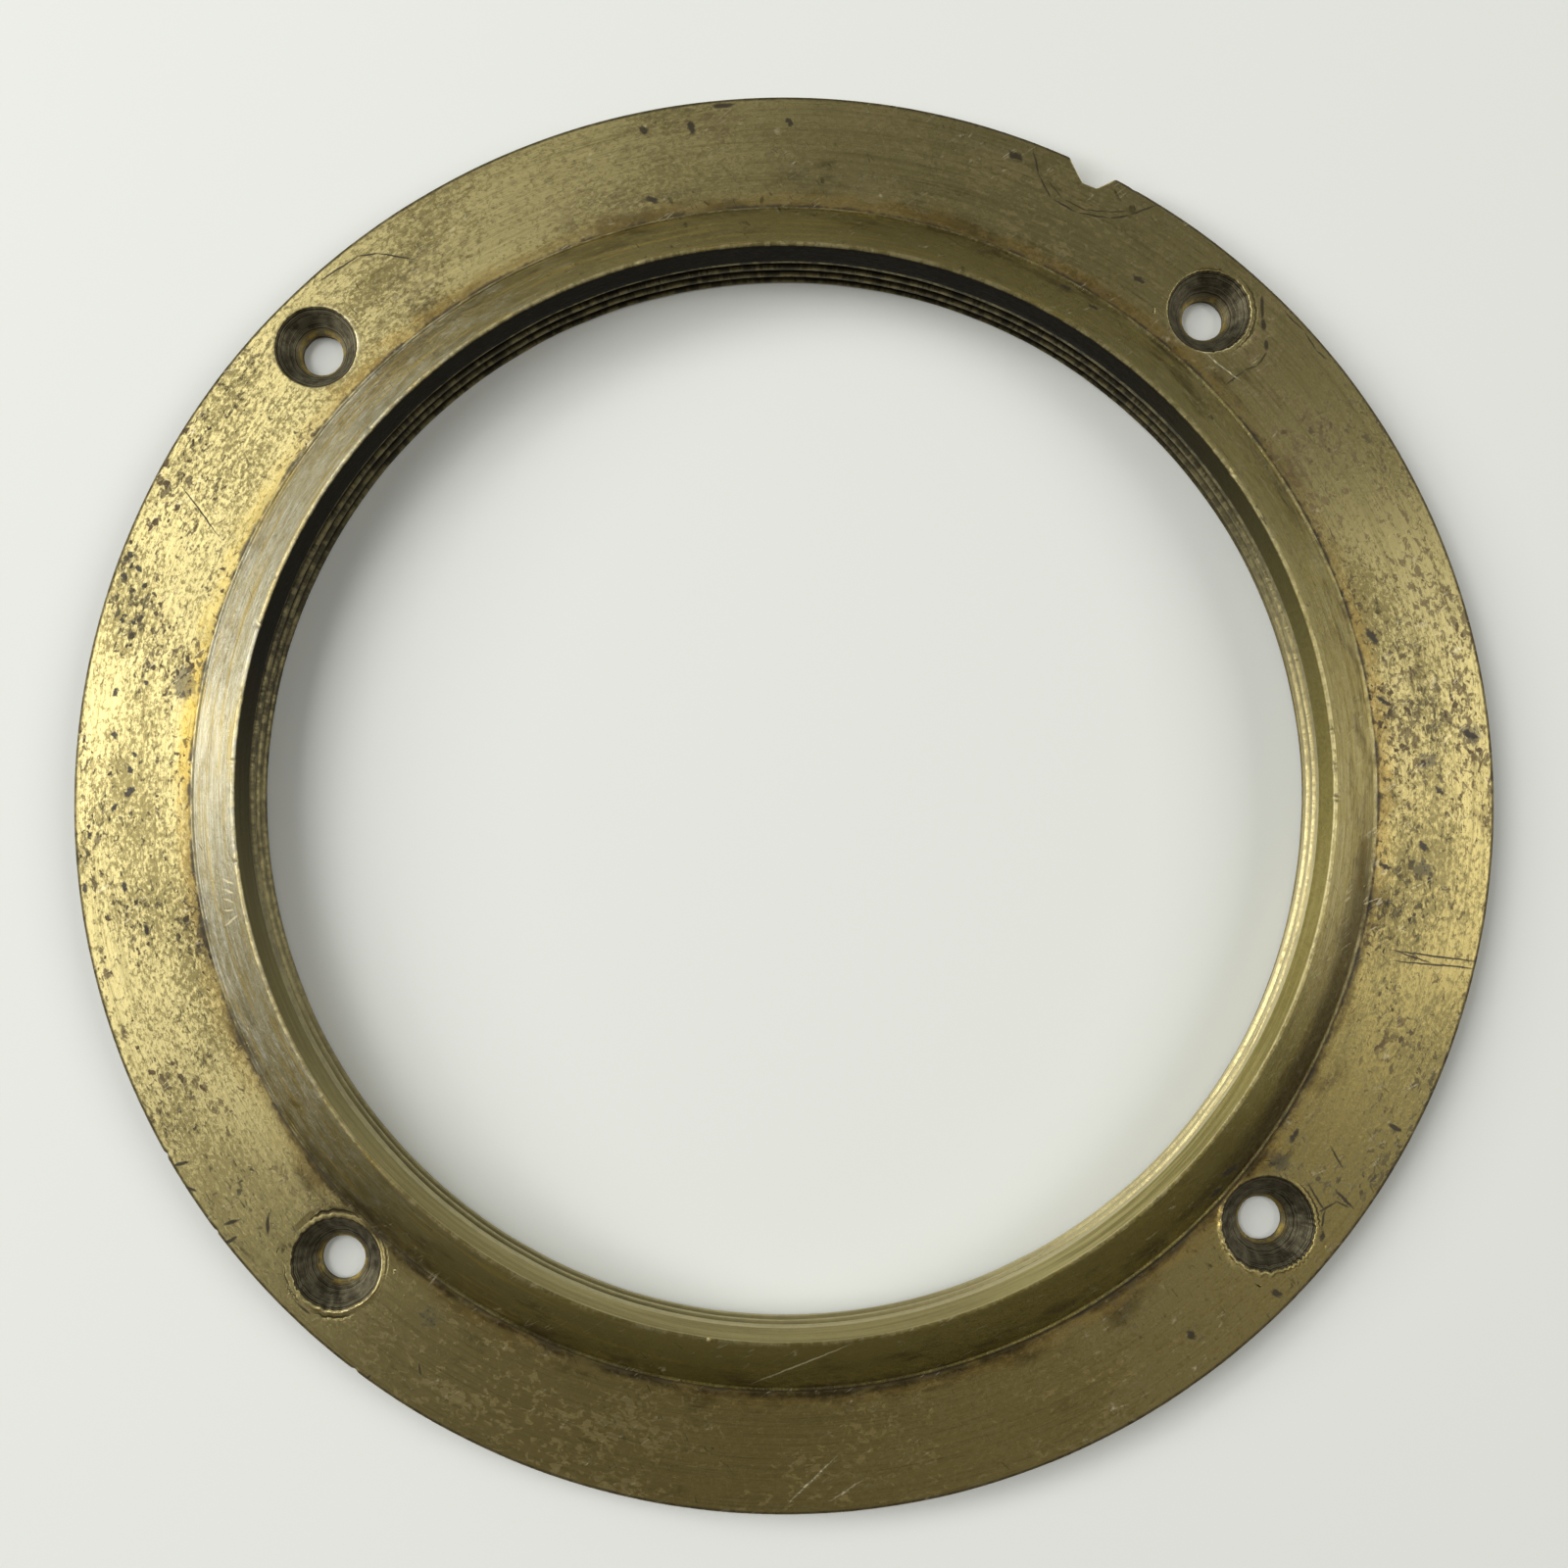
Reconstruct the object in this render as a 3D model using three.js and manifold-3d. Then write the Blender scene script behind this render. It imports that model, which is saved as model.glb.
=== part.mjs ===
// Screw-on mounting flange of a large brass portrait lens: one turned ring with a raised
// conical collar, a coarse internal thread, four countersunk screw holes drilled by hand
// and a filed notch in its edge.
//
// Units are millimetres. The ring lies on its back face, with the origin at the centre of
// the bore on that face and +Z along the bore, towards the collar.

import * as THREE from 'three';
import { mergeVertices } from 'three/addons/utils/BufferGeometryUtils.js';
import Module from 'manifold-3d';

// Driving dimensions: the ring in section.
const THREAD_MAJOR_RADIUS = 47.625;
const THREAD_DEPTH = 0.625;
const THREAD_PITCH = 1.5875;
const PLATE_THICKNESS = 3.2;
const COLLAR_HEIGHT = 4.2;
const COLLAR_RUN = 5.05;
const FACE_WIDTH = 10.5;
const RIM_LAND = 0.3;
const RIM_CLEARANCE = 0.025;
const LEAD_IN_DEPTH = 2.2;
const BACK_CHAMFER = 0.4;
const EDGE_ROUND = 0.4;
const FOOT_FILLET = 0.6;

// Driving dimensions: thread tool.
const THREAD_FLANK_ANGLE = THREE.MathUtils.degToRad(27.5);
const THREAD_ROOT_WIDTH = 0.4;
const THREAD_OVERCUT = 0.3;
const THREAD_START_ANGLE = THREE.MathUtils.degToRad(200);
const THREAD_RUN_IN_TURN = 0.08;

// Driving dimensions: screw holes. Each was marked out by eye, so each has its own angle,
// its own step away from the middle of the face, and its own countersink.
const SCREW_HOLE_RADIUS = 1.92;
const COUNTERSINK_HALF_ANGLE = THREE.MathUtils.degToRad(41);
const SCREW_HOLES = [
  { angle: 48.1, step: -0.2, headRadius: 3.85 },
  { angle: 136.9, step: 0.15, headRadius: 3.8 },
  { angle: 227.0, step: -0.75, headRadius: 4.2 },
  { angle: 317.7, step: -0.85, headRadius: 4.35 },
];

// Driving dimensions: notch filed in the edge.
const NOTCH_ANGLE = THREE.MathUtils.degToRad(63.3);
const NOTCH_MOUTH_WIDTH = 4.7;
const NOTCH_FLOOR_WIDTH = 1.4;
const NOTCH_DEPTH = 1.75;

// Fineness of the round shapes.
const RING_SEGMENTS = 96;
const HOLE_SEGMENTS = 36;
const ARC_STEPS = 3;
const CUT_MARGIN = 1;

// Sizes that follow from the ones above.
const threadMinorRadius = THREAD_MAJOR_RADIUS - THREAD_DEPTH;
const rimInnerRadius = THREAD_MAJOR_RADIUS + RIM_CLEARANCE;
const rimOuterRadius = rimInnerRadius + RIM_LAND;
const collarFootRadius = rimOuterRadius + COLLAR_RUN;
const outerRadius = collarFootRadius + FACE_WIDTH;
const totalHeight = PLATE_THICKNESS + COLLAR_HEIGHT;
const leadInZ = totalHeight - LEAD_IN_DEPTH;
const holeCircleRadius = (collarFootRadius + outerRadius) / 2;

const wasm = await Module();
wasm.setup();

// Points along a round corner about (x, y), both ends included.
function arcPoints(x, y, radius, fromAngle, toAngle) {
  const points = [];
  for (let i = 0; i <= ARC_STEPS; i += 1) {
    const angle = fromAngle + ((toAngle - fromAngle) * i) / ARC_STEPS;
    points.push(new THREE.Vector2(x + radius * Math.cos(angle), y + radius * Math.sin(angle)));
  }
  return points;
}

// Hollow corner between the flat face and the cone: an arc that touches both.
function footFillet() {
  const coneAngle = Math.atan2(COLLAR_HEIGHT, COLLAR_RUN);
  const tangentLength = FOOT_FILLET * Math.tan(coneAngle / 2);
  const centreX = collarFootRadius + tangentLength;
  const centreY = PLATE_THICKNESS + FOOT_FILLET;
  const start = -Math.PI / 2;
  return arcPoints(centreX, centreY, FOOT_FILLET, start, start - coneAngle);
}

// Section of the ring, as (radius, height) points that run outwards along the back face,
// up the edge, in over the face and collar, and down the bore.
function ringSection() {
  const edgeX = outerRadius - EDGE_ROUND;
  const edgeY = PLATE_THICKNESS - EDGE_ROUND;
  const section = [
    new THREE.Vector2(threadMinorRadius + BACK_CHAMFER, 0),
    new THREE.Vector2(edgeX, 0),
    new THREE.Vector2(outerRadius, EDGE_ROUND),
    ...arcPoints(edgeX, edgeY, EDGE_ROUND, 0, Math.PI / 2),
    ...footFillet(),
    new THREE.Vector2(rimOuterRadius, totalHeight),
    new THREE.Vector2(rimInnerRadius, totalHeight),
    new THREE.Vector2(threadMinorRadius, leadInZ),
    new THREE.Vector2(threadMinorRadius, BACK_CHAMFER),
  ];
  section.push(section[0].clone());
  return section;
}

// A lathe turns about Y; this stands the turned shape up along +Z.
function turned(section, segments) {
  const geometry = new THREE.LatheGeometry(section, segments);
  geometry.rotateX(Math.PI / 2);
  return geometry;
}

// Volume enclosed by a closed mesh, negative when its faces point inwards.
function signedVolume(positions, index) {
  let total = 0;
  const a = new THREE.Vector3();
  const b = new THREE.Vector3();
  const c = new THREE.Vector3();
  for (let i = 0; i < index.length; i += 3) {
    a.fromArray(positions, index[i] * 3);
    b.fromArray(positions, index[i + 1] * 3);
    c.fromArray(positions, index[i + 2] * 3);
    total += a.dot(b.cross(c)) / 6;
  }
  return total;
}

function toSolid(geometry) {
  const bare = geometry.index ? geometry.toNonIndexed() : geometry.clone();
  bare.deleteAttribute('normal');
  bare.deleteAttribute('uv');
  const merged = mergeVertices(bare, 1e-4);
  const vertProperties = new Float32Array(merged.attributes.position.array);
  const triangles = Array.from(merged.index.array);
  const kept = [];
  for (let i = 0; i < triangles.length; i += 3) {
    const [a, b, c] = triangles.slice(i, i + 3);
    if (a !== b && b !== c && c !== a) kept.push(a, b, c);
  }
  if (signedVolume(vertProperties, kept) < 0) kept.reverse();
  const triVerts = new Uint32Array(kept);
  return new wasm.Manifold(new wasm.Mesh({ numProp: 3, vertProperties, triVerts }));
}

function toGeometry(solid) {
  const mesh = solid.getMesh();
  const geometry = new THREE.BufferGeometry();
  geometry.setAttribute('position', new THREE.BufferAttribute(mesh.vertProperties.slice(), 3));
  geometry.setIndex(new THREE.BufferAttribute(mesh.triVerts.slice(), 1));
  geometry.computeVertexNormals();
  return geometry;
}

// Path of the thread tool: a right-hand helix that climbs with the angle. Over its last
// part it leaves the wall, so that the thread runs out below the plain lead-in.
class ThreadPath extends THREE.Curve {
  constructor() {
    super();
    this.topZ = leadInZ - THREAD_PITCH / 4;
    this.turns = (this.topZ + THREAD_PITCH) / THREAD_PITCH;
  }

  angleAt(t) {
    return THREAD_START_ANGLE - (1 - t) * this.turns * 2 * Math.PI;
  }

  withdrawalAt(t) {
    const turnsLeft = (1 - t) * this.turns;
    const share = Math.max(0, 1 - turnsLeft / THREAD_RUN_IN_TURN);
    return share * (THREAD_DEPTH + THREAD_OVERCUT);
  }

  getPoint(t, target = new THREE.Vector3()) {
    const angle = this.angleAt(t);
    const radius = threadMinorRadius - this.withdrawalAt(t);
    const z = this.topZ - (1 - t) * this.turns * THREAD_PITCH;
    return target.set(radius * Math.cos(angle), radius * Math.sin(angle), z);
  }

  getPointAt(t, target) {
    return this.getPoint(t, target);
  }

  getSpacedPoints(divisions) {
    return this.getPoints(divisions);
  }

  // The tool stays square to the wall: its first axis points outwards, its second up.
  computeFrenetFrames(segments) {
    const frames = { tangents: [], normals: [], binormals: [] };
    for (let i = 0; i <= segments; i += 1) {
      const angle = this.angleAt(i / segments);
      frames.tangents.push(new THREE.Vector3(-Math.sin(angle), Math.cos(angle), 0));
      frames.normals.push(new THREE.Vector3(Math.cos(angle), Math.sin(angle), 0));
      frames.binormals.push(new THREE.Vector3(0, 0, 1));
    }
    return frames;
  }
}

function threadCutter() {
  const path = new ThreadPath();
  const slope = Math.tan(THREAD_FLANK_ANGLE);
  const rootHalf = THREAD_ROOT_WIDTH / 2;
  const mouthHalf = rootHalf + (THREAD_DEPTH + THREAD_OVERCUT) * slope;
  const tool = new THREE.Shape([
    new THREE.Vector2(THREAD_DEPTH, -rootHalf),
    new THREE.Vector2(THREAD_DEPTH, rootHalf),
    new THREE.Vector2(-THREAD_OVERCUT, mouthHalf),
    new THREE.Vector2(-THREAD_OVERCUT, -mouthHalf),
  ]);
  const steps = Math.round(path.turns * RING_SEGMENTS);
  return new THREE.ExtrudeGeometry(tool, { steps, extrudePath: path, bevelEnabled: false });
}

function screwHoleCutter({ angle, step, headRadius }) {
  const coneDepth = (headRadius - SCREW_HOLE_RADIUS) / Math.tan(COUNTERSINK_HALF_ANGLE);
  const topRadius = headRadius + CUT_MARGIN * Math.tan(COUNTERSINK_HALF_ANGLE);
  const topZ = PLATE_THICKNESS + CUT_MARGIN;
  const cutter = turned([
    new THREE.Vector2(0, -CUT_MARGIN),
    new THREE.Vector2(SCREW_HOLE_RADIUS, -CUT_MARGIN),
    new THREE.Vector2(SCREW_HOLE_RADIUS, PLATE_THICKNESS - coneDepth),
    new THREE.Vector2(topRadius, topZ),
    new THREE.Vector2(topRadius, topZ + COLLAR_HEIGHT),
    new THREE.Vector2(0, topZ + COLLAR_HEIGHT),
  ], HOLE_SEGMENTS);
  const direction = THREE.MathUtils.degToRad(angle);
  const radius = holeCircleRadius + step;
  cutter.translate(radius * Math.cos(direction), radius * Math.sin(direction), 0);
  return cutter;
}

function notchCutter() {
  const flare = (NOTCH_MOUTH_WIDTH - NOTCH_FLOOR_WIDTH) / (2 * NOTCH_DEPTH);
  const outerHalf = NOTCH_MOUTH_WIDTH / 2 + CUT_MARGIN * flare;
  const floorHalf = NOTCH_FLOOR_WIDTH / 2;
  const outline = new THREE.Shape([
    new THREE.Vector2(outerRadius - NOTCH_DEPTH, -floorHalf),
    new THREE.Vector2(outerRadius + CUT_MARGIN, -outerHalf),
    new THREE.Vector2(outerRadius + CUT_MARGIN, outerHalf),
    new THREE.Vector2(outerRadius - NOTCH_DEPTH, floorHalf),
  ]);
  const depth = PLATE_THICKNESS + 2 * CUT_MARGIN;
  const cutter = new THREE.ExtrudeGeometry(outline, { depth, bevelEnabled: false });
  cutter.translate(0, 0, -CUT_MARGIN);
  cutter.rotateZ(NOTCH_ANGLE);
  return cutter;
}

function lensFlange() {
  let body = toSolid(turned(ringSection(), RING_SEGMENTS));
  body = body.subtract(toSolid(threadCutter()));
  for (const hole of SCREW_HOLES) body = body.subtract(toSolid(screwHoleCutter(hole)));
  body = body.subtract(toSolid(notchCutter()));
  const brass = new THREE.MeshStandardMaterial({ color: 0x9c8a4e, roughness: 0.42, metalness: 1 });
  const flange = new THREE.Mesh(toGeometry(body), brass);
  flange.name = 'lens_flange';
  return flange;
}

const part = new THREE.Group();
part.add(lensFlange());

export default part;
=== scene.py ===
"""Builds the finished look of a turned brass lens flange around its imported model.

The ring lies on its back face on a pale floor: flat face with four hand-drilled countersunk
holes and a filed notch, raised conical collar, and a coarse right-hand thread in the bore.
Lengths inside the mesh functions are millimetres, with the origin at the centre of the back
face and +Z along the bore; meshes are written in metres.
"""

import math

import bpy
import numpy as np
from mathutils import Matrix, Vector


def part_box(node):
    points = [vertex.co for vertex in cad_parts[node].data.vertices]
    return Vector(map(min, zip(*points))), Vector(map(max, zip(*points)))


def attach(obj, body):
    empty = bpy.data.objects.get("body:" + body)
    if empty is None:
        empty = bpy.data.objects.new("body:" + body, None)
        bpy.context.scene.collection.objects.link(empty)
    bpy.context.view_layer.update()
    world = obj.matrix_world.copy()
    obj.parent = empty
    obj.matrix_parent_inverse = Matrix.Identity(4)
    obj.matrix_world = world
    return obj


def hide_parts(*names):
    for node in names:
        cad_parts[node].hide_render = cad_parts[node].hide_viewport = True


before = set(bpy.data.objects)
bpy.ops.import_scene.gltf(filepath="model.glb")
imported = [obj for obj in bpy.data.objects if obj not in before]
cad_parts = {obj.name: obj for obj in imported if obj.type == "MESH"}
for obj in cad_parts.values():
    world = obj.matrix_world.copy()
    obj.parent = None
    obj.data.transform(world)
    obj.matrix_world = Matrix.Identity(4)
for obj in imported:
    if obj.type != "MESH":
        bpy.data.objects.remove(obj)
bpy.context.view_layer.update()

bl_info = {
    "name": "Brass lens flange",
    "version": (1, 0, 0),
    "blender": (4, 5, 0),
    "location": "3D View > Sidebar > Flange",
    "description": "Builds a worn turned-brass lens flange and a plain stage for it",
    "category": "Object",
}

NODE = "lens_flange"
SLOT = "aged_brass"
MM = 0.001
LOW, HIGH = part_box(NODE)
OUTER_RADIUS = (HIGH.x - LOW.x) / 2
HEIGHT = HIGH.z - LOW.z
FLOOR_Z = LOW.z

# Landmarks of the section, in millimetres.
EDGE_RADIUS = round(OUTER_RADIUS / MM, 2)
FOOT_RADIUS = 53.0
THREAD_RADIUS = 47.625
RIM_CLEARANCE = 0.025
RIM_RADIUS = THREAD_RADIUS + RIM_CLEARANCE
MIDDLE_RADIUS = 55.0
PLATE = 3.2
TOP = round(HEIGHT / MM, 2)
LEAD_IN = 2.2
BORE_CHAMFER = 0.4

# The thread's tool: direction in degrees where the groove ends, part of a turn over which
# it runs out, half the width of the root, and the flank's angle from square to the wall.
THREAD_START = 200.0
THREAD_RUN_OUT = 0.1
THREAD_ROOT_HALF = 0.2
THREAD_FLANK = math.radians(27.5)

# Directions in degrees where the finish changes most: the two lamp sides, where light is
# painted in, the painted highlight in the bore, and the painted shade in the bore.
LIT_LEFT = 172
LIT_RIGHT = 8
BORE_HIGHLIGHT = 325
SHADED_BORE = 108

# Mesh fineness.
RING_COLUMNS = 600
BORE_COLUMNS = 440
BACK_COLUMNS = 300
BORE_ROWS = 48
HOLE_COLUMNS = 168
FINE_STEP = 0.1  # degrees between columns where the edge is filed or dented

# The screw holes as drilled: direction and distance from the bore's axis, head radius, how
# ragged the rim is, number of chatter lobes, how far the rim stands up, which way it stands
# highest, how rough that lip is, and how wide a rubbed halo lies round it.
HOLES = (
    {"angle": 48.1, "reach": 58.05, "head": 3.82, "ragged": 0.06, "lobes": 13,
     "lip": 0.02, "lip_toward": 250, "lip_rough": 0.15, "halo": 0.3},
    {"angle": 136.9, "reach": 58.4, "head": 3.78, "ragged": 0.04, "lobes": 9,
     "lip": 0.015, "lip_toward": 20, "lip_rough": 0.2, "halo": 0.85},
    {"angle": 227.0, "reach": 57.5, "head": 4.02, "ragged": 0.09, "lobes": 15,
     "lip": 0.16, "lip_toward": 318, "lip_rough": 0.08, "halo": 0.3},
    {"angle": 317.7, "reach": 57.4, "head": 4.15, "ragged": 0.13, "lobes": 17,
     "lip": 0.13, "lip_toward": 215, "lip_rough": 0.5, "halo": 0.35},
)

# Crescents beside the holes: hole number, middle direction and half spread in degrees,
# distance from the rim, half width, depth.
CRESCENTS = (
    (0, 352, 48, 0.42, 0.1, 0.1), (0, 322, 20, 0.62, 0.09, 0.07), (0, 88, 16, 0.16, 0.1, 0.12),
    (2, 98, 34, 0.52, 0.15, 0.17), (2, 20, 42, 0.42, 0.08, 0.08), (2, 268, 20, 0.55, 0.1, 0.12),
    (2, 205, 24, 0.55, 0.09, 0.08), (3, 22, 30, 0.3, 0.09, 0.1), (3, 300, 26, 0.25, 0.1, 0.07),
)

# Outline of the filed notch: direction in degrees and depth below the rim.
NOTCH = ((61.3, 0.0), (62.35, 1.64), (63.65, 1.76), (64.85, 0.7), (65.55, 0.0))

# Stage, in metres and watts. Each light: name, direction and elevation in degrees, width
# and height of its panel, power, colour.
FLOOR_HALF = 3.0
FLOOR_GAP = 0.02 * MM
LIGHT_DISTANCE = 0.9
DAYLIGHT = (1.0, 0.99, 0.96)
WARM_DAYLIGHT = (1.0, 0.98, 0.94)
LIGHTS = (
    ("window_left", 170, 50, 0.8, 0.45, 4.6, DAYLIGHT),
    ("lamp_left", 172, 26, 0.2, 0.3, 2.2, DAYLIGHT),
    ("lamp_above", 116, 48, 0.5, 0.3, 0.7, DAYLIGHT),
    ("lamp_low", 142, 38, 0.2, 0.2, 0.6, DAYLIGHT),
    ("window_right", 4, 42, 0.4, 0.5, 2.7, WARM_DAYLIGHT),
)

# Small dents: direction in degrees, half width in degrees, depth.
EDGE_DENTS = ((233.8, 0.25, 0.22), (218.3, 0.2, 0.18), (211.0, 0.22, 0.25), (59.6, 0.3, 0.1))
RIM_DENTS = (
    (1.5, 0.35, 0.1), (5.2, 0.25, 0.07), (34.5, 0.4, 0.16), (106.0, 0.3, 0.06),
    (139.5, 0.25, 0.08), (158.0, 0.3, 0.07), (163.4, 0.35, 0.12), (171.5, 0.4, 0.1),
    (178.0, 0.3, 0.09), (188.5, 0.3, 0.07), (262.0, 0.35, 0.08), (358.2, 0.3, 0.12),
)


def length(name, description, metres):
    """A length that the user may change."""
    return bpy.props.FloatProperty(
        name=name, description=description, default=metres, unit="LENGTH")


def paint(name, description, colour):
    """A colour that the user may change, as linear red, green and blue."""
    return bpy.props.FloatVectorProperty(
        name=name, description=description, default=colour, size=3, subtype="COLOR",
        min=0, max=1)


class FlangeSizes(bpy.types.PropertyGroup):
    """Sizes of the flange that a user may change."""

    outer_radius: length("Outer radius", "Radius of the outside edge", OUTER_RADIUS)
    height: length("Height", "From the back face to the rim of the collar", HEIGHT)
    plate: length("Plate thickness", "Thickness of the flat ring", PLATE * MM)
    thread_radius: length("Thread radius", "Radius at the root of the thread", THREAD_RADIUS * MM)
    thread_depth: length("Thread depth", "Depth of the thread groove", 0.625 * MM)
    thread_pitch: length("Thread pitch", "Climb of the thread in one turn", 1.5875 * MM)
    lead_in: length("Lead-in depth", "Plain length of the bore below the rim", LEAD_IN * MM)
    rim_land: length("Rim land", "Width of the flat at the top of the collar", 0.3 * MM)
    foot_radius: length(
        "Foot radius", "Radius where the collar meets the flat face", FOOT_RADIUS * MM)
    edge_round: length("Edge round", "Radius worn on the outside edge", 0.42 * MM)
    screw_radius: length("Screw hole radius", "Radius of the drilled screw holes", 1.92 * MM)
    countersink: bpy.props.FloatProperty(
        name="Countersink angle", description="Angle from the screw's axis to the cone's wall",
        default=math.radians(41), subtype="ANGLE")


class FlangeFinish(bpy.types.PropertyGroup):
    """Colours of the aged brass."""

    # Bright brass is also the painted highlight in the bore and on the right of the collar.
    bright_brass: paint("Bright brass", "Metal where the lacquer is clear", (0.62, 0.535, 0.25))
    # Warm brass is also the painted warm reflection on the lower right of the face.
    warm_brass: paint("Warm brass", "Metal under lacquer that has yellowed", (0.5, 0.37, 0.095))
    # Dull brass is also painted shade on the upper right of the face.
    dull_brass: paint("Dull brass", "Metal under browned lacquer", (0.27, 0.225, 0.092))
    # Collar brass is placed mostly on the two lamp sides as a painted sheen.
    collar_brass: paint("Collar brass", "Greyer metal of the collar", (0.56, 0.55, 0.46))
    lacquer: paint(
        "Bright lacquer", "Yellow lacquer left on the left of the foot", (0.72, 0.49, 0.06))
    old_lacquer: paint(
        "Old lacquer", "Browned lacquer left along the collar's foot", (0.46, 0.31, 0.085))
    smudge_brown: paint(
        "Smudge brown", "Brown smudges each side of the collar's foot", (0.12, 0.092, 0.036))
    cut_grey: paint("Cut grey", "Dull metal inside the countersinks", (0.195, 0.178, 0.115))
    fresh: paint("Fresh scratch", "Bare metal in recent scratches", (0.85, 0.77, 0.52))
    # This brown is also the painted shadow just outside the collar's foot.
    tarnish_and_shadow_brown: paint(
        "Edge brown", "Tarnish of the outside wall and the back", (0.075, 0.058, 0.03))
    # On the collar, olive is painted shade.
    olive: paint(
        "Olive", "Green-brown metal on the shaded side of the collar", (0.26, 0.215, 0.055))
    rust: paint("Rust brown", "Warm brown of the corroded pits", (0.08, 0.045, 0.02))
    stain: paint("Stain", "Dark grey stains on the flat face", (0.055, 0.052, 0.045))
    # Painted shade: this near black darkens the upper side of the bore.
    bore_shade_colour: paint("Bore shade", "Black dirt baked on the shaded side of the bore", (0.012, 0.01, 0.006))
    grime: paint("Grime", "Dirt in corners, pits and grooves", (0.035, 0.027, 0.016))


class StageSettings(bpy.types.PropertyGroup):
    """Camera, floor and light."""

    distance: length(
        "Camera distance", "From the camera to the middle of the flat face", 140.0 * MM)
    tilt: bpy.props.FloatProperty(
        name="Camera tilt", description="How far the camera leans from straight above",
        default=math.radians(3.9), subtype="ANGLE")
    lens: bpy.props.FloatProperty(
        name="Lens", description="Focal length on a 36 mm frame, in millimetres", default=36.0)
    light_side: paint("Light side", "Room colour on the light side", (0.165, 0.172, 0.16))
    dark_side: paint("Dark side", "Room colour on the dark side", (0.085, 0.07, 0.05))
    floor_colour: paint("Floor colour", "Colour of the plain floor", (0.82, 0.85, 0.83))


# ---------------------------------------------------------------- mesh building


def arc(centre_r, centre_z, radius, start, end, count):
    """Points (r, z) along a round corner: centre + radius * (cos a, sin a), a in degrees."""
    a = np.radians(np.linspace(start, end, count))
    return np.stack([centre_r + radius * np.cos(a), centre_z + radius * np.sin(a)], axis=1)


def line(start, end, count):
    """Evenly spaced points from start to end, both included."""
    t = np.linspace(0, 1, count)[:, None]
    return np.asarray(start) * (1 - t) + np.asarray(end) * t


def smooth_step(low, high, value):
    """0 below low, 1 above high, and the curve 3t^2 - 2t^3 between them."""
    t = np.clip((value - low) / (high - low), 0, 1)
    return t * t * (3 - 2 * t)


def angle_gap(a, b):
    """Signed difference a - b in degrees, brought into -180..180."""
    return (a - b + 180) % 360 - 180


def wander(angles, seed, low, high):
    """Smooth periodic wobble: a sum of sines of order low to high with seeded sizes."""
    rng = np.random.default_rng(seed)
    orders = np.arange(low, high + 1)
    sizes = rng.normal(0, 1, len(orders)) / np.sqrt(len(orders))
    phases = rng.uniform(0, 2 * np.pi, len(orders))
    return sizes @ np.sin(orders[:, None] * np.ravel(angles)[None, :] + phases[:, None])


class Surface:
    """Collects points and triangles of one closed surface."""

    def __init__(self):
        self.points = []
        self.count = 0
        self.triangles = []
        self.fields = {"grain": [], "worn": [], "cut": []}

    def add(self, points, grain, worn=0.0, cut=0.0):
        """Adds a grid of points, shape (..., 3), and returns their numbers in that shape."""
        shape = points.shape[:-1]
        total = int(np.prod(shape))
        self.points.append(points.reshape(-1, 3))
        self.fields["grain"].append(np.broadcast_to(grain, points.shape).reshape(-1, 3))
        self.fields["worn"].append(np.broadcast_to(worn, shape).reshape(-1))
        self.fields["cut"].append(np.broadcast_to(cut, shape).reshape(-1))
        numbers = np.arange(self.count, self.count + total).reshape(shape)
        self.count += total
        return numbers

    def quads(self, numbers, keep=None, flip=False):
        """Two triangles for each cell of a grid that closes on itself along its last axis."""
        a = numbers[:-1]
        b = np.roll(numbers, -1, axis=1)[:-1]
        c = np.roll(numbers, -1, axis=1)[1:]
        d = numbers[1:]
        cells = np.stack([a, b, c, d], axis=-1)
        cells = cells.reshape(-1, 4) if keep is None else cells[keep]
        tris = np.concatenate([cells[:, [0, 1, 2]], cells[:, [0, 2, 3]]])
        self.triangles.append(tris[:, ::-1] if flip else tris)

    def stitch(self, outer, outer_angles, inner, inner_angles, flip=False):
        """Triangles between two closed loops listed by rising angle.

        The points of both loops are sorted together by angle. Each one closes a triangle
        with the point before it on its own loop and the latest point on the other.
        """
        angles = np.concatenate([outer_angles, inner_angles])
        is_outer = np.arange(len(angles)) < len(outer)
        order = np.argsort(angles, kind="stable")
        is_outer = is_outer[order]
        n_outer = np.cumsum(is_outer)
        n_inner = np.cumsum(~is_outer)
        a_now, a_last = outer[(n_outer - 1) % len(outer)], outer[(n_outer - 2) % len(outer)]
        b_now, b_last = inner[(n_inner - 1) % len(inner)], inner[(n_inner - 2) % len(inner)]
        on_outer = np.stack([a_last, a_now, b_now], axis=1)[is_outer]
        on_inner = np.stack([a_now, b_now, b_last], axis=1)[~is_outer]
        tris = np.concatenate([on_outer, on_inner])
        self.triangles.append(tris[:, ::-1] if flip else tris)

    def mesh(self, name):
        """Writes the surface into a new mesh, in metres, with its fields.

        Points that no triangle uses, such as those inside the windows, are left out.
        """
        used, tris = np.unique(np.concatenate(self.triangles), return_inverse=True)
        points = np.concatenate(self.points)[used] * MM
        mesh = bpy.data.meshes.new(name)
        mesh.from_pydata(points.tolist(), [], tris.reshape(-1, 3).tolist())
        for field, values in self.fields.items():
            values = np.concatenate(values)[used].astype(np.float32)
            kind = "FLOAT_VECTOR" if values.ndim == 2 else "FLOAT"
            layer = mesh.attributes.new(field, kind, "POINT")
            layer.data.foreach_set("vector" if values.ndim == 2 else "value", values.ravel())
        mesh.shade_smooth()
        mesh.validate()
        return mesh


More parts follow.
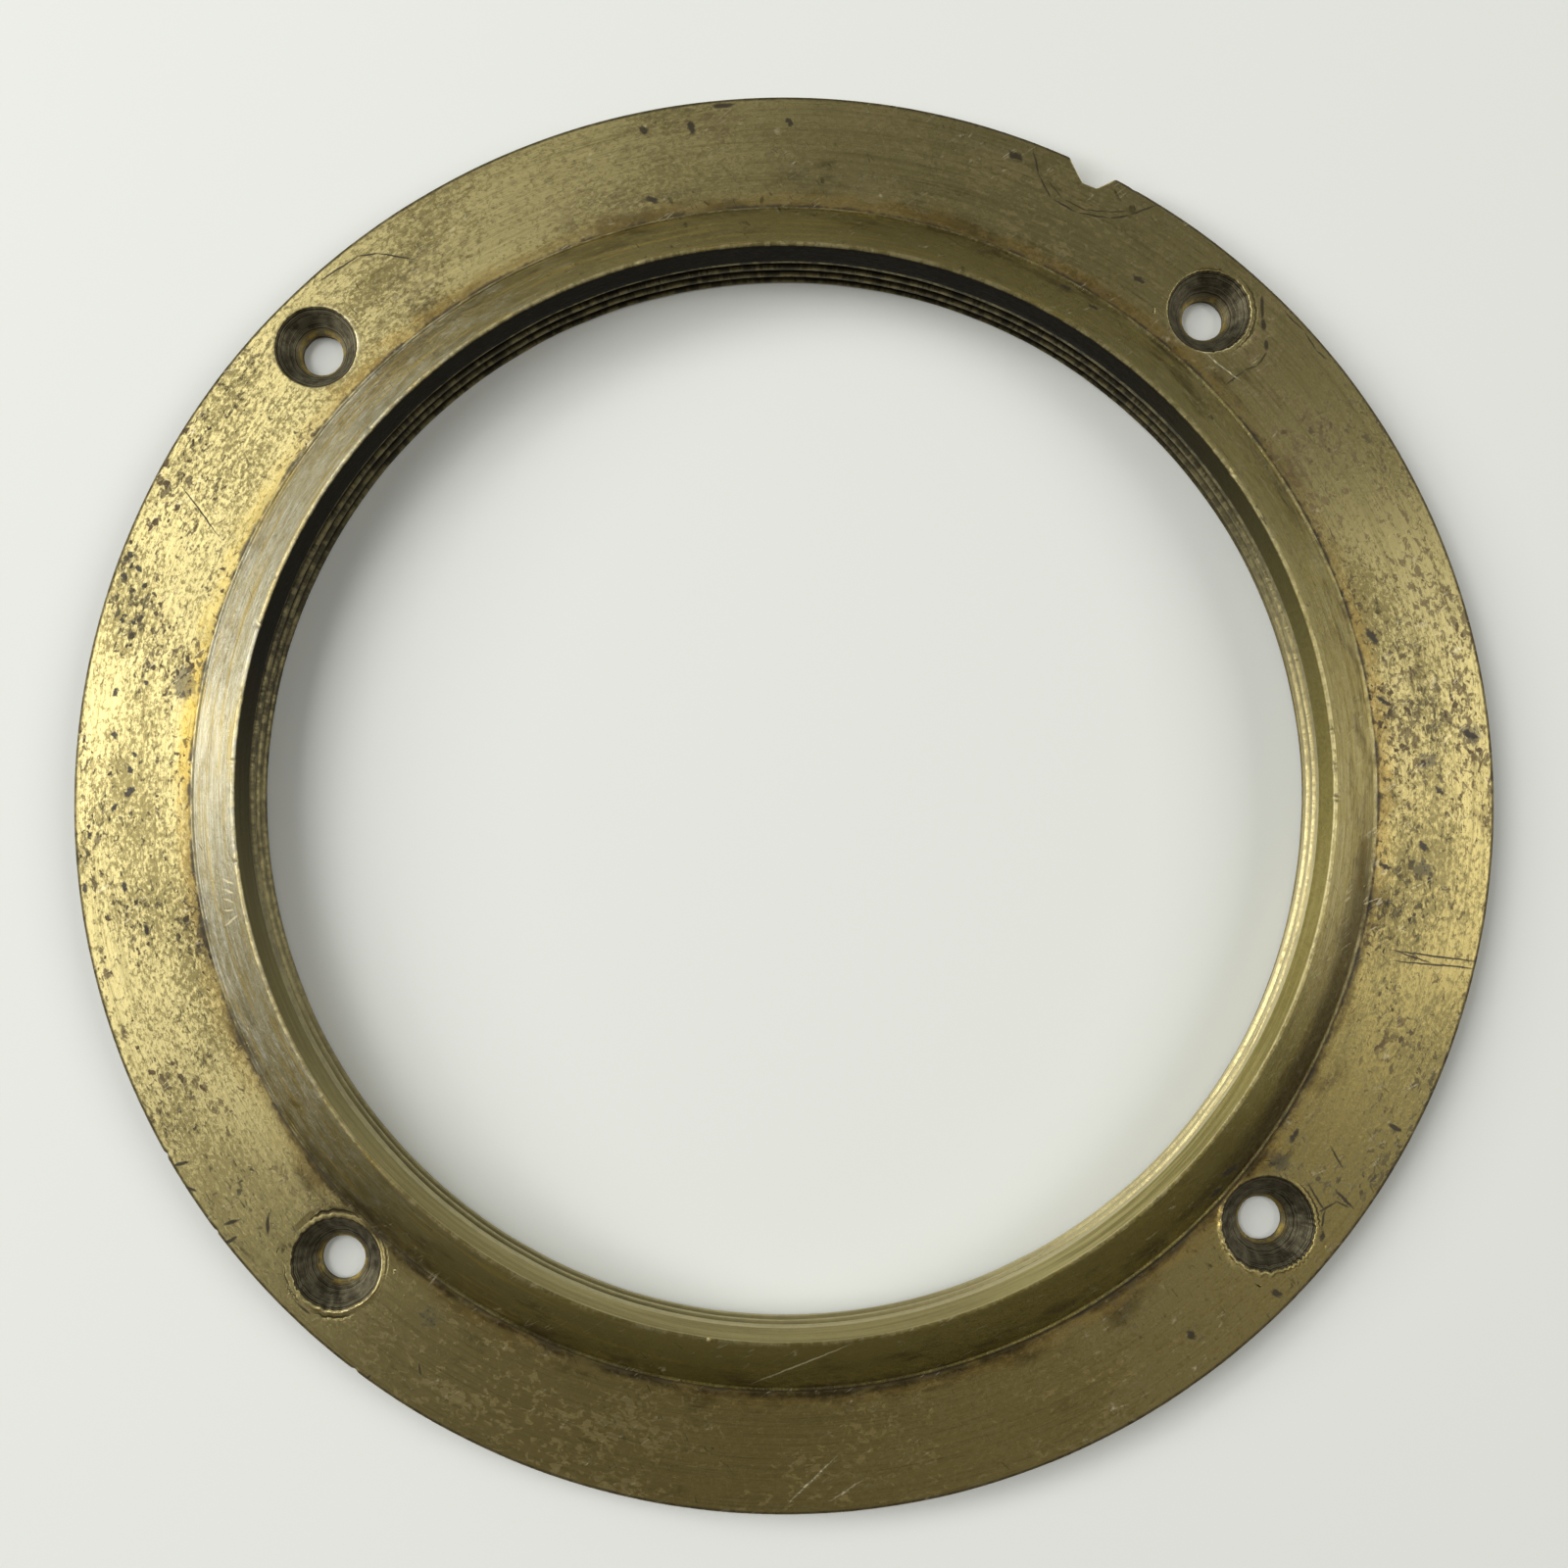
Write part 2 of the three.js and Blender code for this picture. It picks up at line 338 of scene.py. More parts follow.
def millimetres(sizes):
    """The size properties as plain millimetres, by name."""
    lengths = {k: getattr(sizes, k) / MM for k in FlangeSizes.__annotations__}
    lengths["countersink"] = sizes.countersink
    lengths["minor"] = lengths["thread_radius"] - lengths["thread_depth"]
    lengths["rim_inner"] = lengths["thread_radius"] + RIM_CLEARANCE
    lengths["lead_z"] = lengths["height"] - lengths["lead_in"]
    lengths["face_outer"] = lengths["outer_radius"] - lengths["edge_round"]
    lengths["window_outer"] = lengths["face_outer"] - 0.18
    lengths["window_inner"] = lengths["foot_radius"] + 0.2
    return lengths


def ring_columns():
    """Directions of the ring's columns in degrees: even steps, finer at dents and notch."""
    even = np.arange(RING_COLUMNS) * 360 / RING_COLUMNS
    fine = [np.arange(NOTCH[0][0] - 0.4, NOTCH[-1][0] + 0.4, FINE_STEP)]
    for angle, half, _ in EDGE_DENTS + RIM_DENTS:
        fine.append(angle + np.linspace(-1.6 * half, 1.6 * half, 9))
    columns = np.unique(np.round(np.concatenate([even, *fine]) % 360, 3))
    gaps = np.diff(columns, append=columns[0] + 360)
    return columns[gaps > 0.03]


def edge_radius(s, degrees):
    """Radius of the outside edge: the full radius less the notch and the dents.

    The notch is straight lines between its outline points with its corners eased by a
    moving average; each dent is a bell curve.
    """
    offsets = np.linspace(-0.12, 0.12, 7)
    angles, depths = np.array(NOTCH).T
    notch = np.mean([np.interp(degrees + o, angles, depths) for o in offsets], axis=0)
    dents = np.zeros_like(degrees)
    for angle, half, depth in EDGE_DENTS:
        dents += depth * np.exp(-((angle_gap(degrees, angle) / half) ** 2))
    wobble = 0.012 * wander(np.radians(degrees), 5, 3, 40)
    return s["outer_radius"] - notch - dents * 0.6 - np.abs(wobble)


def filed(s, radii, degrees):
    """Radii of a row once the edge is filed: the outermost 3 mm shrink to fit inside it."""
    hinge = s["outer_radius"] - 3.0
    share = np.clip((radii - hinge) / 3.0, 0, 1)
    return radii - share * (s["outer_radius"] - edge_radius(s, degrees))


def ring_profile(s):
    """Section of the ring as rows (r, z, wear), from the back edge over to the lead-in.

    A small round at the back, the straight edge, the worn round, the flat face, a low
    square ledge at the collar's foot, the slightly hollow cone, the rim and its lead-in.
    """
    outer, plate, top = s["outer_radius"], s["plate"], s["height"]
    soft = s["edge_round"]
    back_round, ledge = 0.28, 0.29
    foot = s["foot_radius"]
    rim_outer = s["rim_inner"] + s["rim_land"]
    cone_foot = np.array([foot - 0.5, plate + 0.28])
    cone_top = np.array([rim_outer + 0.07, top - 0.09])
    t = np.linspace(0, 1, 15)[1:-1]
    hollow = 0.07 * np.sin(np.pi * t) + 0.02 * np.exp(-(((t - 0.42) / 0.03) ** 2))
    slant = cone_foot * (1 - t[:, None]) + cone_top * t[:, None]
    slope = cone_top - cone_foot
    inward = np.array([slope[1], -slope[0]]) / np.hypot(*slope)
    cone = slant - np.abs(inward) * hollow[:, None] * np.array([1, 1])
    face_radii = np.concatenate([
        [s["window_outer"]],
        np.linspace(s["window_outer"], s["window_inner"], 11)[1:-1],
        [s["window_inner"]],
    ])
    parts = [
        (arc(outer - back_round, back_round, back_round, -90, 0, 4), (0, 0.3, 0.3, 0.1)),
        (line((outer, 1.0), (outer, plate - soft - 0.35), 3), 0.0),
        (arc(outer - soft, plate - soft, soft, 0, 90, 7), (0.1, 0.3, 0.5, 0.7, 0.6, 0.3, 0.1)),
        (np.stack([face_radii, np.full(len(face_radii), plate)], axis=1), 0.0),
        (np.array([[foot + 0.05, plate - 0.01], [foot - 0.03, plate - 0.005]]), 0.0),
        (np.array([[foot - 0.08, plate + 0.05], [foot - 0.1, plate + 0.2]]), 0.0),
        (np.array([[foot - 0.15, plate + ledge], [foot - 0.26, plate + ledge]]), 0.6),
        (np.array([[foot - 0.34, plate + 0.22], [foot - 0.42, plate + 0.2]]), 0.0),
        (cone_foot[None, :], 0.0),
        (cone, 0.0),
        (np.array([cone_top, [rim_outer + 0.02, top - 0.03]]), (0.3, 0.55)),
        (np.array([[rim_outer - 0.03, top], [s["rim_inner"] + 0.06, top]]), 0.64),
        (np.array([[s["rim_inner"] + 0.02, top - 0.02], [s["rim_inner"], top - 0.06]]), 0.5),
    ]
    depth = np.array([0.18, 0.6, 1.1, 1.6, s["lead_in"] - 0.12])
    lead = np.stack([
        s["rim_inner"] + (s["minor"] - s["rim_inner"]) * depth / s["lead_in"],
        top - depth,
    ], axis=1)
    parts.append((lead, 0.0))
    rows = [np.column_stack([p, np.broadcast_to(w, len(p))]) for p, w in parts]
    return np.concatenate(rows)


def turned_points(radii, heights, degrees):
    """Grid of points (r cos a, r sin a, z) and the tool-mark direction (-sin a, cos a, 0)."""
    a = np.radians(degrees)
    radii, heights, a = np.broadcast_arrays(radii, heights, a)
    points = np.stack([radii * np.cos(a), radii * np.sin(a), heights], axis=-1)
    grain = np.stack([-np.sin(a), np.cos(a), np.zeros_like(a)], axis=-1)
    return points, grain


def rim_dents(s, radii, heights, degrees):
    """Knocks in the rim: bell-shaped drops of the collar's top 0.5 mm."""
    near_rim = smooth_step(s["height"] - 0.5, s["height"], heights)
    drop = np.zeros(np.broadcast(heights, degrees).shape)
    for angle, half, depth in RIM_DENTS:
        drop = drop + depth * np.exp(-((angle_gap(degrees, angle) / half) ** 2))
    wear = 0.012 * np.abs(wander(np.radians(degrees.ravel()), 11, 20, 120))
    drop = (drop + wear) * near_rim
    return radii, heights - drop


def hole_centre(hole):
    """Centre of a screw hole as (x, y)."""
    a = math.radians(hole["angle"])
    return np.array([hole["reach"] * math.cos(a), hole["reach"] * math.sin(a)])


def window(degrees, hole, half_width):
    """First and last column of the part of the ring that a screw hole replaces."""
    half = math.degrees(half_width / hole["reach"])
    inside = np.nonzero(np.abs(angle_gap(degrees, hole["angle"])) <= half)[0]
    return inside[0], inside[-1]


def window_loop(numbers, first_row, last_row, first, last):
    """Numbers round a rectangular window in a grid, anticlockwise seen from its front."""
    outer = numbers[first_row, first:last + 1]
    side = numbers[first_row:last_row + 1, last][1:]
    inner = numbers[last_row, first:last + 1][::-1][1:]
    back = numbers[first_row:last_row + 1, first][::-1][1:-1]
    return np.concatenate([outer, side, inner, back])


def by_angle(points, loop, centre):
    """Angles of a loop's points about a centre, and the loop, both rolled to rising order."""
    offset = points[loop][:, :2] - centre
    angles = np.arctan2(offset[:, 1], offset[:, 0]) % (2 * np.pi)
    start = int(np.argmin(angles))
    return np.roll(angles, -start), np.roll(loop, -start), np.roll(np.hypot(*offset.T), -start)


def ring_surface(surface, s):
    """The ring from its back edge to the lead-in, with a window left for each screw hole."""
    degrees = ring_columns()
    rows = ring_profile(s)
    radii, heights = rows[:, :1], rows[:, 1:2]
    radii = filed(s, np.broadcast_to(radii, (len(rows), len(degrees))), degrees)
    radii, heights = rim_dents(s, radii, heights, degrees[None, :])
    points, grain = turned_points(radii, heights, degrees[None, :])
    numbers = surface.add(points, grain, worn=rows[:, 2:3])
    face = np.nonzero(np.abs(rows[:, 1] - s["plate"]) < 1e-9)[0]
    outer_row = face[np.argmin(np.abs(rows[face, 0] - s["window_outer"]))]
    inner_row = face[np.argmin(np.abs(rows[face, 0] - s["window_inner"]))]
    keep = np.ones((len(rows) - 1, len(degrees)), bool)
    windows = []
    for hole in HOLES:
        first, last = window(degrees, hole, hole["head"] + 0.9)
        keep[outer_row:inner_row, first:last] = False
        windows.append(window_loop(numbers, outer_row, inner_row, first, last))
    surface.quads(numbers, keep)
    return numbers, np.radians(degrees), windows


def thread_groove(s, heights, degrees):
    """Depth of the thread at each height and direction.

    The groove's middle climbs one pitch in each turn. Its section is a flat root with two
    straight flanks, its crests are rounded off, and it fades in below the lead-in.
    """
    top = s["lead_z"] - s["thread_pitch"] / 4
    turn = (THREAD_START - degrees) / 360
    along = (top - heights) / s["thread_pitch"] - turn
    nearest = np.maximum(np.round(along), np.ceil(-turn))
    gap = np.abs(along - nearest) * s["thread_pitch"]
    begun = np.clip((nearest + turn) / THREAD_RUN_OUT, 0, 1)
    lost = np.maximum(gap - THREAD_ROOT_HALF, 0) / math.tan(THREAD_FLANK)
    depth = s["thread_depth"] - lost
    soft = 0.06
    depth = np.where(depth > soft, depth, soft * np.exp(np.minimum(depth / soft - 1, 0)))
    depth = np.where(depth < 0.012, 0.0, depth)
    return depth * smooth_step(0, 1, begun)


def bore_surface(surface, s):
    """The threaded bore, from the lead-in down to a small chamfer at the back face."""
    degrees = np.arange(BORE_COLUMNS) * 360 / BORE_COLUMNS
    heights = np.concatenate([
        np.linspace(s["lead_z"], BORE_CHAMFER, BORE_ROWS),
        [BORE_CHAMFER * 0.6, BORE_CHAMFER * 0.25, 0.0],
    ])[:, None]
    base = s["minor"] + np.clip(BORE_CHAMFER - heights, 0, BORE_CHAMFER)
    thread = s["minor"] + thread_groove(s, heights, degrees[None, :])
    worn_crest = 0.02 * wander(np.radians(degrees), 21, 2, 30)[None, :]
    radii = np.maximum(base, thread) + np.abs(worn_crest)
    points, grain = turned_points(radii, heights, degrees[None, :])
    crest = 1 - smooth_step(0.02, 0.3, radii - s["minor"])
    numbers = surface.add(points, grain, worn=0.35 * crest)
    surface.quads(numbers)
    return numbers, np.radians(degrees)


def back_surface(surface, s):
    """The flat back face, with a window left for each screw hole."""
    degrees = np.arange(BACK_COLUMNS) * 360 / BACK_COLUMNS
    radii = np.array([48.1, 50.5, 53.6, 55.2, 56.8, 58.4, 60.0, 61.6, 62.6])[:, None]
    radii = filed(s, np.broadcast_to(radii, (len(radii), len(degrees))), degrees)
    points, grain = turned_points(radii, 0.0, degrees[None, :])
    numbers = surface.add(points, grain)
    keep = np.ones((len(radii) - 1, len(degrees)), bool)
    windows = []
    for hole in HOLES:
        first, last = window(degrees, hole, s["screw_radius"] + 1.4)
        keep[2:7, first:last] = False
        windows.append(window_loop(numbers, 2, 7, first, last)[::-1])
    surface.quads(numbers, keep)
    return numbers, np.radians(degrees), windows


def rim_shape(s, hole, index, angles):
    """Distance from a hole's axis to its rim in each direction.

    The head radius, plus slow wander, plus saw-like chatter, never closer to the collar's
    foot than the flat face allows.
    """
    ragged = hole["ragged"]
    slow = 0.35 * ragged * wander(angles, 31 + index, 2, 7)
    chatter = ((angles * hole["lobes"] / (2 * np.pi) + 0.3 * slow / ragged) % 1.0) - 0.5
    side = 0.5 + 0.5 * np.cos(angles - math.radians(hole["angle"]) + 0.8)
    torn = 0.5 * ragged * wander(angles, 61 + index, 20, 60)
    rim = hole["head"] + slow + ragged * chatter * side + torn * (0.3 + side)
    toward_axis = -np.cos(angles - math.radians(hole["angle"]))
    room = (hole["reach"] - s["window_inner"] - 0.06) / np.maximum(toward_axis, 0.05)
    return np.minimum(rim, room)


def lip_height(hole, index, angles, distance):
    """Height of the burr thrown up round a hole: a bell curve over the distance from the
    rim, stronger on one side."""
    side = np.clip(0.2 + 0.8 * np.cos(angles - math.radians(hole["lip_toward"])), 0, 1)
    bell = np.exp(-(((distance - 0.14) / 0.17) ** 2))
    rough = 1 + hole["lip_rough"] * wander(angles, 91 + index, 8, 40)
    return hole["lip"] * side * bell * rough


def false_starts(index, angles, distance):
    """Depth of the shallow crescents that a wandering cutter left beside a hole.

    Each is a bell-shaped groove at its own reach from the rim, fading away from its middle
    direction as exp(-x^4).
    """
    degrees = np.degrees(angles)
    depth = np.zeros(np.broadcast(angles, distance).shape)
    for hole, middle, spread, reach, width, deepest in CRESCENTS:
        if hole == index:
            along = np.exp(-((angle_gap(degrees, middle) / spread) ** 4))
            depth = depth + deepest * along * np.exp(-(((distance - reach) / width) ** 2))
    return depth


def screw_hole(surface, s, index, front_loop, back_loop):
    """One screw hole: face round the rim, countersunk wall, drilled wall and back edge.

    Every row is a closed loop about the hole's axis with the same directions. On the face a
    row lies part of the way from the rim to the window. On the countersink the radius
    falls in a straight line with depth, with turning rings and the rim's raggedness fading.
    """
    hole = HOLES[index]
    centre = hole_centre(hole)
    angles = (np.arange(HOLE_COLUMNS) + 0.5) * 2 * np.pi / HOLE_COLUMNS
    points = np.concatenate(surface.points)
    loop_angles, loop, reach = by_angle(points, front_loop, centre)
    border = np.interp(angles, loop_angles, reach, period=2 * np.pi)
    rim = rim_shape(s, hole, index, angles)
    share = np.linspace(0.9, 0.0, 15)[:, None]
    reach = np.array([1.3, 1.05, 0.88, 0.76, 0.66, 0.57, 0.49, 0.41, 0.34, 0.27, 0.2, 0.14,
                      0.09, 0.04, 0.0])[:, None]
    distance = np.minimum(reach, (border - rim) * share)
    radii = rim + distance
    fade = smooth_step(1.0, 0.8, share)
    lift = lip_height(hole, index, angles[None, :], distance)
    groove = false_starts(index, angles[None, :], distance) * fade
    lift = lift * fade - groove
    heights = s["plate"] + lift - 0.03 * smooth_step(0.05, 0.0, distance)
    face = loop_points(centre, radii, heights, angles)
    spin = np.radians(hole["angle"])
    _, ring_grain = turned_points(1.0, 0.0, np.degrees(np.arctan2(face[..., 1], face[..., 0])))
    facing = np.cos(angles - math.radians(hole["lip_toward"]))
    worn = smooth_step(hole["halo"], 0.0, distance) * (0.45 + 0.5 * np.clip(facing, 0, 1))
    face_numbers = surface.add(face, ring_grain, worn=worn, cut=np.clip(groove * 12, 0, 0.9))
    surface.stitch(loop, loop_angles, face_numbers[0], angles)
    surface.quads(face_numbers)

    hole_radius = s["screw_radius"]
    slope = math.tan(s["countersink"])
    throat_z = s["plate"] - (hole["head"] - hole_radius) / slope
    t = np.concatenate([[0.02], np.linspace(0.06, 1.0, 22)])[:, None]
    ideal = hole["head"] + (hole_radius - hole["head"]) * t
    rings = 0.03 * np.sin(t * 34 + 1.5 * np.sin(angles + spin)) * np.sin(np.pi * t)
    rings = rings + 0.06 * smooth_step(0.5, 0.56, t + 0.05 * np.sin(angles + index))
    chatter = 0.025 * np.cos(hole["lobes"] * angles + 7 * t) * np.sin(np.pi * t)
    stray = (rim - hole["head"]) * np.exp(-t * 5)
    wall_r = ideal + rings + chatter + stray
    wall_z = (s["plate"] - 0.05) * (1 - t) + throat_z * t + 0 * angles
    exit_r = hole_radius + np.array([0.0, 0.0, 0.02, 0.14])[:, None] + 0 * angles
    exit_z = np.array([throat_z - 0.12, 0.5 * throat_z, 0.16, 0.0])[:, None] + 0 * angles
    drill = 0.02 * wander(angles, 71 + index, 2, 6)
    radii = np.concatenate([wall_r, exit_r + drill])
    heights = np.concatenate([wall_z, exit_z])
    wall = loop_points(centre, radii, heights, angles)
    grain = np.stack([-np.sin(angles), np.cos(angles), np.zeros_like(angles)], axis=-1)
    throat = np.exp(-(((heights - throat_z) / 0.25) ** 2)) * 0.6
    cut = np.ones_like(radii)
    cut[-1] = 0.4
    wall_numbers = surface.add(wall, grain[None], worn=throat, cut=cut)
    surface.quads(np.concatenate([face_numbers[-1:], wall_numbers]))

    points = np.concatenate(surface.points)
    loop_angles, loop, reach = by_angle(points, back_loop, centre)
    border = np.interp(angles, loop_angles, reach, period=2 * np.pi)
    share = np.array([0.12, 0.4, 0.75])[:, None]
    radii = radii[-1] + (border - radii[-1]) * share
    under = loop_points(centre, radii, np.zeros_like(radii), angles)
    _, ring_grain = turned_points(1.0, 0.0, np.degrees(np.arctan2(under[..., 1], under[..., 0])))
    under_numbers = surface.add(under, ring_grain)
    surface.quads(np.concatenate([wall_numbers[-1:], under_numbers]))
    surface.stitch(loop, loop_angles, under_numbers[-1], angles, flip=True)


def loop_points(centre, radii, heights, angles):
    """Grid of points centre + r (cos a, sin a) at the given heights."""
    x = centre[0] + radii * np.cos(angles)
    y = centre[1] + radii * np.sin(angles)
    return np.stack([x, y, np.broadcast_to(heights, x.shape)], axis=-1)


def flange_mesh(sizes):
    """The whole flange as one closed surface."""
    s = millimetres(sizes)
    surface = Surface()
    ring, ring_angles, front_windows = ring_surface(surface, s)
    bore, bore_angles = bore_surface(surface, s)
    back, back_angles, back_windows = back_surface(surface, s)
    surface.stitch(ring[-1], ring_angles, bore[0], bore_angles)
    surface.stitch(bore[-1], bore_angles, back[0], back_angles)
    surface.stitch(back[-1], back_angles, ring[0], ring_angles)
    for index in range(len(HOLES)):
        screw_hole(surface, s, index, front_windows[index], back_windows[index])
    return surface.mesh(NODE + "_finished")


# ---------------------------------------------------------------- materials


class Nodes:
    """Short calls for wiring a node tree. Each makes one node and returns its output."""

    def __init__(self, tree):
        self.tree = tree

    def node(self, kind, **settings):
        made = self.tree.nodes.new(kind)
        for key, value in settings.items():
            setattr(made, key, value)
        return made

    def feed(self, socket, value):
        if isinstance(value, bpy.types.NodeSocket):
            self.tree.links.new(value, socket)
        elif value is not None:
            socket.default_value = value

    def math(self, operation, a, b=None, c=None, clamp=False):
        made = self.node("ShaderNodeMath", operation=operation, use_clamp=clamp)
        for socket, value in zip(made.inputs, (a, b, c)):
            self.feed(socket, value)
        return made.outputs[0]

    def mul_add(self, a, b, c, clamp=False):
        """a times b, plus c."""
        return self.math("MULTIPLY_ADD", a, b, c, clamp)

    def gap(self, a, b):
        """Distance between two numbers, whichever is larger."""
        return self.math("ABSOLUTE", self.math("SUBTRACT", a, b))

    def vector(self, operation, a, b=None, scale=None):
        made = self.node("ShaderNodeVectorMath", operation=operation)
        self.feed(made.inputs[0], a)
        self.feed(made.inputs[1], b)
        if scale is not None:
            self.feed(made.inputs["Scale"], scale)
        return made.outputs["Value" if operation in ("LENGTH", "DOT_PRODUCT") else "Vector"]

    def combine(self, x, y, z):
        made = self.node("ShaderNodeCombineXYZ")
        for socket, value in zip(made.inputs, (x, y, z)):
            self.feed(socket, value)
        return made.outputs[0]

    def noise(self, vector, scale, detail=2.0, roughness=0.5, distortion=0.0):
        made = self.node("ShaderNodeTexNoise")
        self.feed(made.inputs["Vector"], vector)
        self.feed(made.inputs["Scale"], scale)
        self.feed(made.inputs["Detail"], detail)
        self.feed(made.inputs["Roughness"], roughness)
        self.feed(made.inputs["Distortion"], distortion)
        return made.outputs["Fac"]

    def shake(self, vector, scale, reach):
        """Moves a place by up to half of reach each way, by slow noise."""
        made = self.node("ShaderNodeTexNoise")
        self.feed(made.inputs["Vector"], vector)
        self.feed(made.inputs["Scale"], scale)
        centred = self.vector("SUBTRACT", made.outputs["Color"], (0.5, 0.5, 0.5))
        return self.vector("ADD", vector, self.vector("SCALE", centred, scale=reach))

    def cells(self, vector, scale, randomness=1.0):
        made = self.node("ShaderNodeTexVoronoi")
        self.feed(made.inputs["Vector"], vector)
        self.feed(made.inputs["Scale"], scale)
        self.feed(made.inputs["Randomness"], randomness)
        return made.outputs["Distance"]

    def span(self, value, low, high, start=0.0, end=1.0):
        """Runs from start at low to end at high along a smooth curve, level beyond."""
        made = self.node("ShaderNodeMapRange", interpolation_type="SMOOTHSTEP")
        for name, given in (("Value", value), ("From Min", low), ("From Max", high),
                            ("To Min", start), ("To Max", end)):
            self.feed(made.inputs[name], given)
        return made.outputs[0]

    def mix(self, share, a, b, blend="MIX"):
        made = self.node("ShaderNodeMix", data_type="RGBA", blend_type=blend)
        self.feed(made.inputs[0], share)
        for socket, value in ((made.inputs[6], a), (made.inputs[7], b)):
            flat = not isinstance(value, bpy.types.NodeSocket)
            self.feed(socket, (*value, 1.0) if flat and len(value) == 3 else value)
        return made.outputs[2]

    def attribute(self, name, output="Fac"):
        made = self.node("ShaderNodeAttribute", attribute_name=name)
        return made.outputs[output]

    def product(self, *values):
        total = values[0]
        for value in values[1:]:
            total = self.math("MULTIPLY", total, value)
        return total

    def greatest(self, values):
        total = values[0]
        for value in values[1:]:
            total = self.math("MAXIMUM", total, value)
        return total


def straight_parts(strokes):
    """The straight parts (half width, start, end) of a list of bent strokes."""
    return [(half_width, start, end) for half_width, *points in strokes
            for start, end in zip(points[:-1], points[1:])]


def strokes_mark(n, point, strokes):
    """1 on each stroke of a list and 0 beside it.

    Each straight part is a long thin ellipse about its middle. The offset from the middle
    is measured along and across it in half lengths and half widths; the sum of the squares
    is 1 on the ellipse, and the smallest sum is kept along the way.
    """
    nearest = None
    for half_width, start, end in straight_parts(strokes):
        half_length = 0.6 * math.dist(start, end) + half_width
        half_width = 1.7 * half_width
        turn = math.atan2(end[1] - start[1], end[0] - start[0])
        along = (math.cos(turn) / half_length, math.sin(turn) / half_length, 0.0)
        across = (-math.sin(turn) / half_width, math.cos(turn) / half_width, 0.0)
        middle = ((start[0] + end[0]) / 2, (start[1] + end[1]) / 2, 0.0)
        offset = n.vector("SUBTRACT", point, middle)
        lengthwise = n.vector("DOT_PRODUCT", offset, along)
        crosswise = n.vector("DOT_PRODUCT", offset, across)
        away = n.mul_add(crosswise, crosswise, n.product(lengthwise, lengthwise))
        nearest = away if nearest is None else n.math("MINIMUM", nearest, away)
    return n.span(nearest, 0.3, 1.3, 1.0, 0.0)


def hair_scratches(n, point, angle, scale, where):
    """Long thin lines that lie mostly one way: borders between cells drawn out tenfold."""
    long_way = n.node("ShaderNodeMapping", vector_type="TEXTURE")
    n.feed(long_way.inputs["Vector"], point)
    long_way.inputs["Rotation"].default_value = (0.0, 0.0, math.radians(angle))
    long_way.inputs["Scale"].default_value = (10.0, 1.0, 1.0)
    cells = n.node("ShaderNodeTexVoronoi", feature="DISTANCE_TO_EDGE")
    n.feed(cells.inputs["Vector"], long_way.outputs[0])
    n.feed(cells.inputs["Scale"], scale)
    line_mark = n.span(cells.outputs["Distance"], 0.012, 0.035, 1.0, 0.0)
    broken = n.noise(point, 0.8, 2.0, 0.6)
    return n.product(line_mark, where, n.span(broken, 0.52, 0.66))


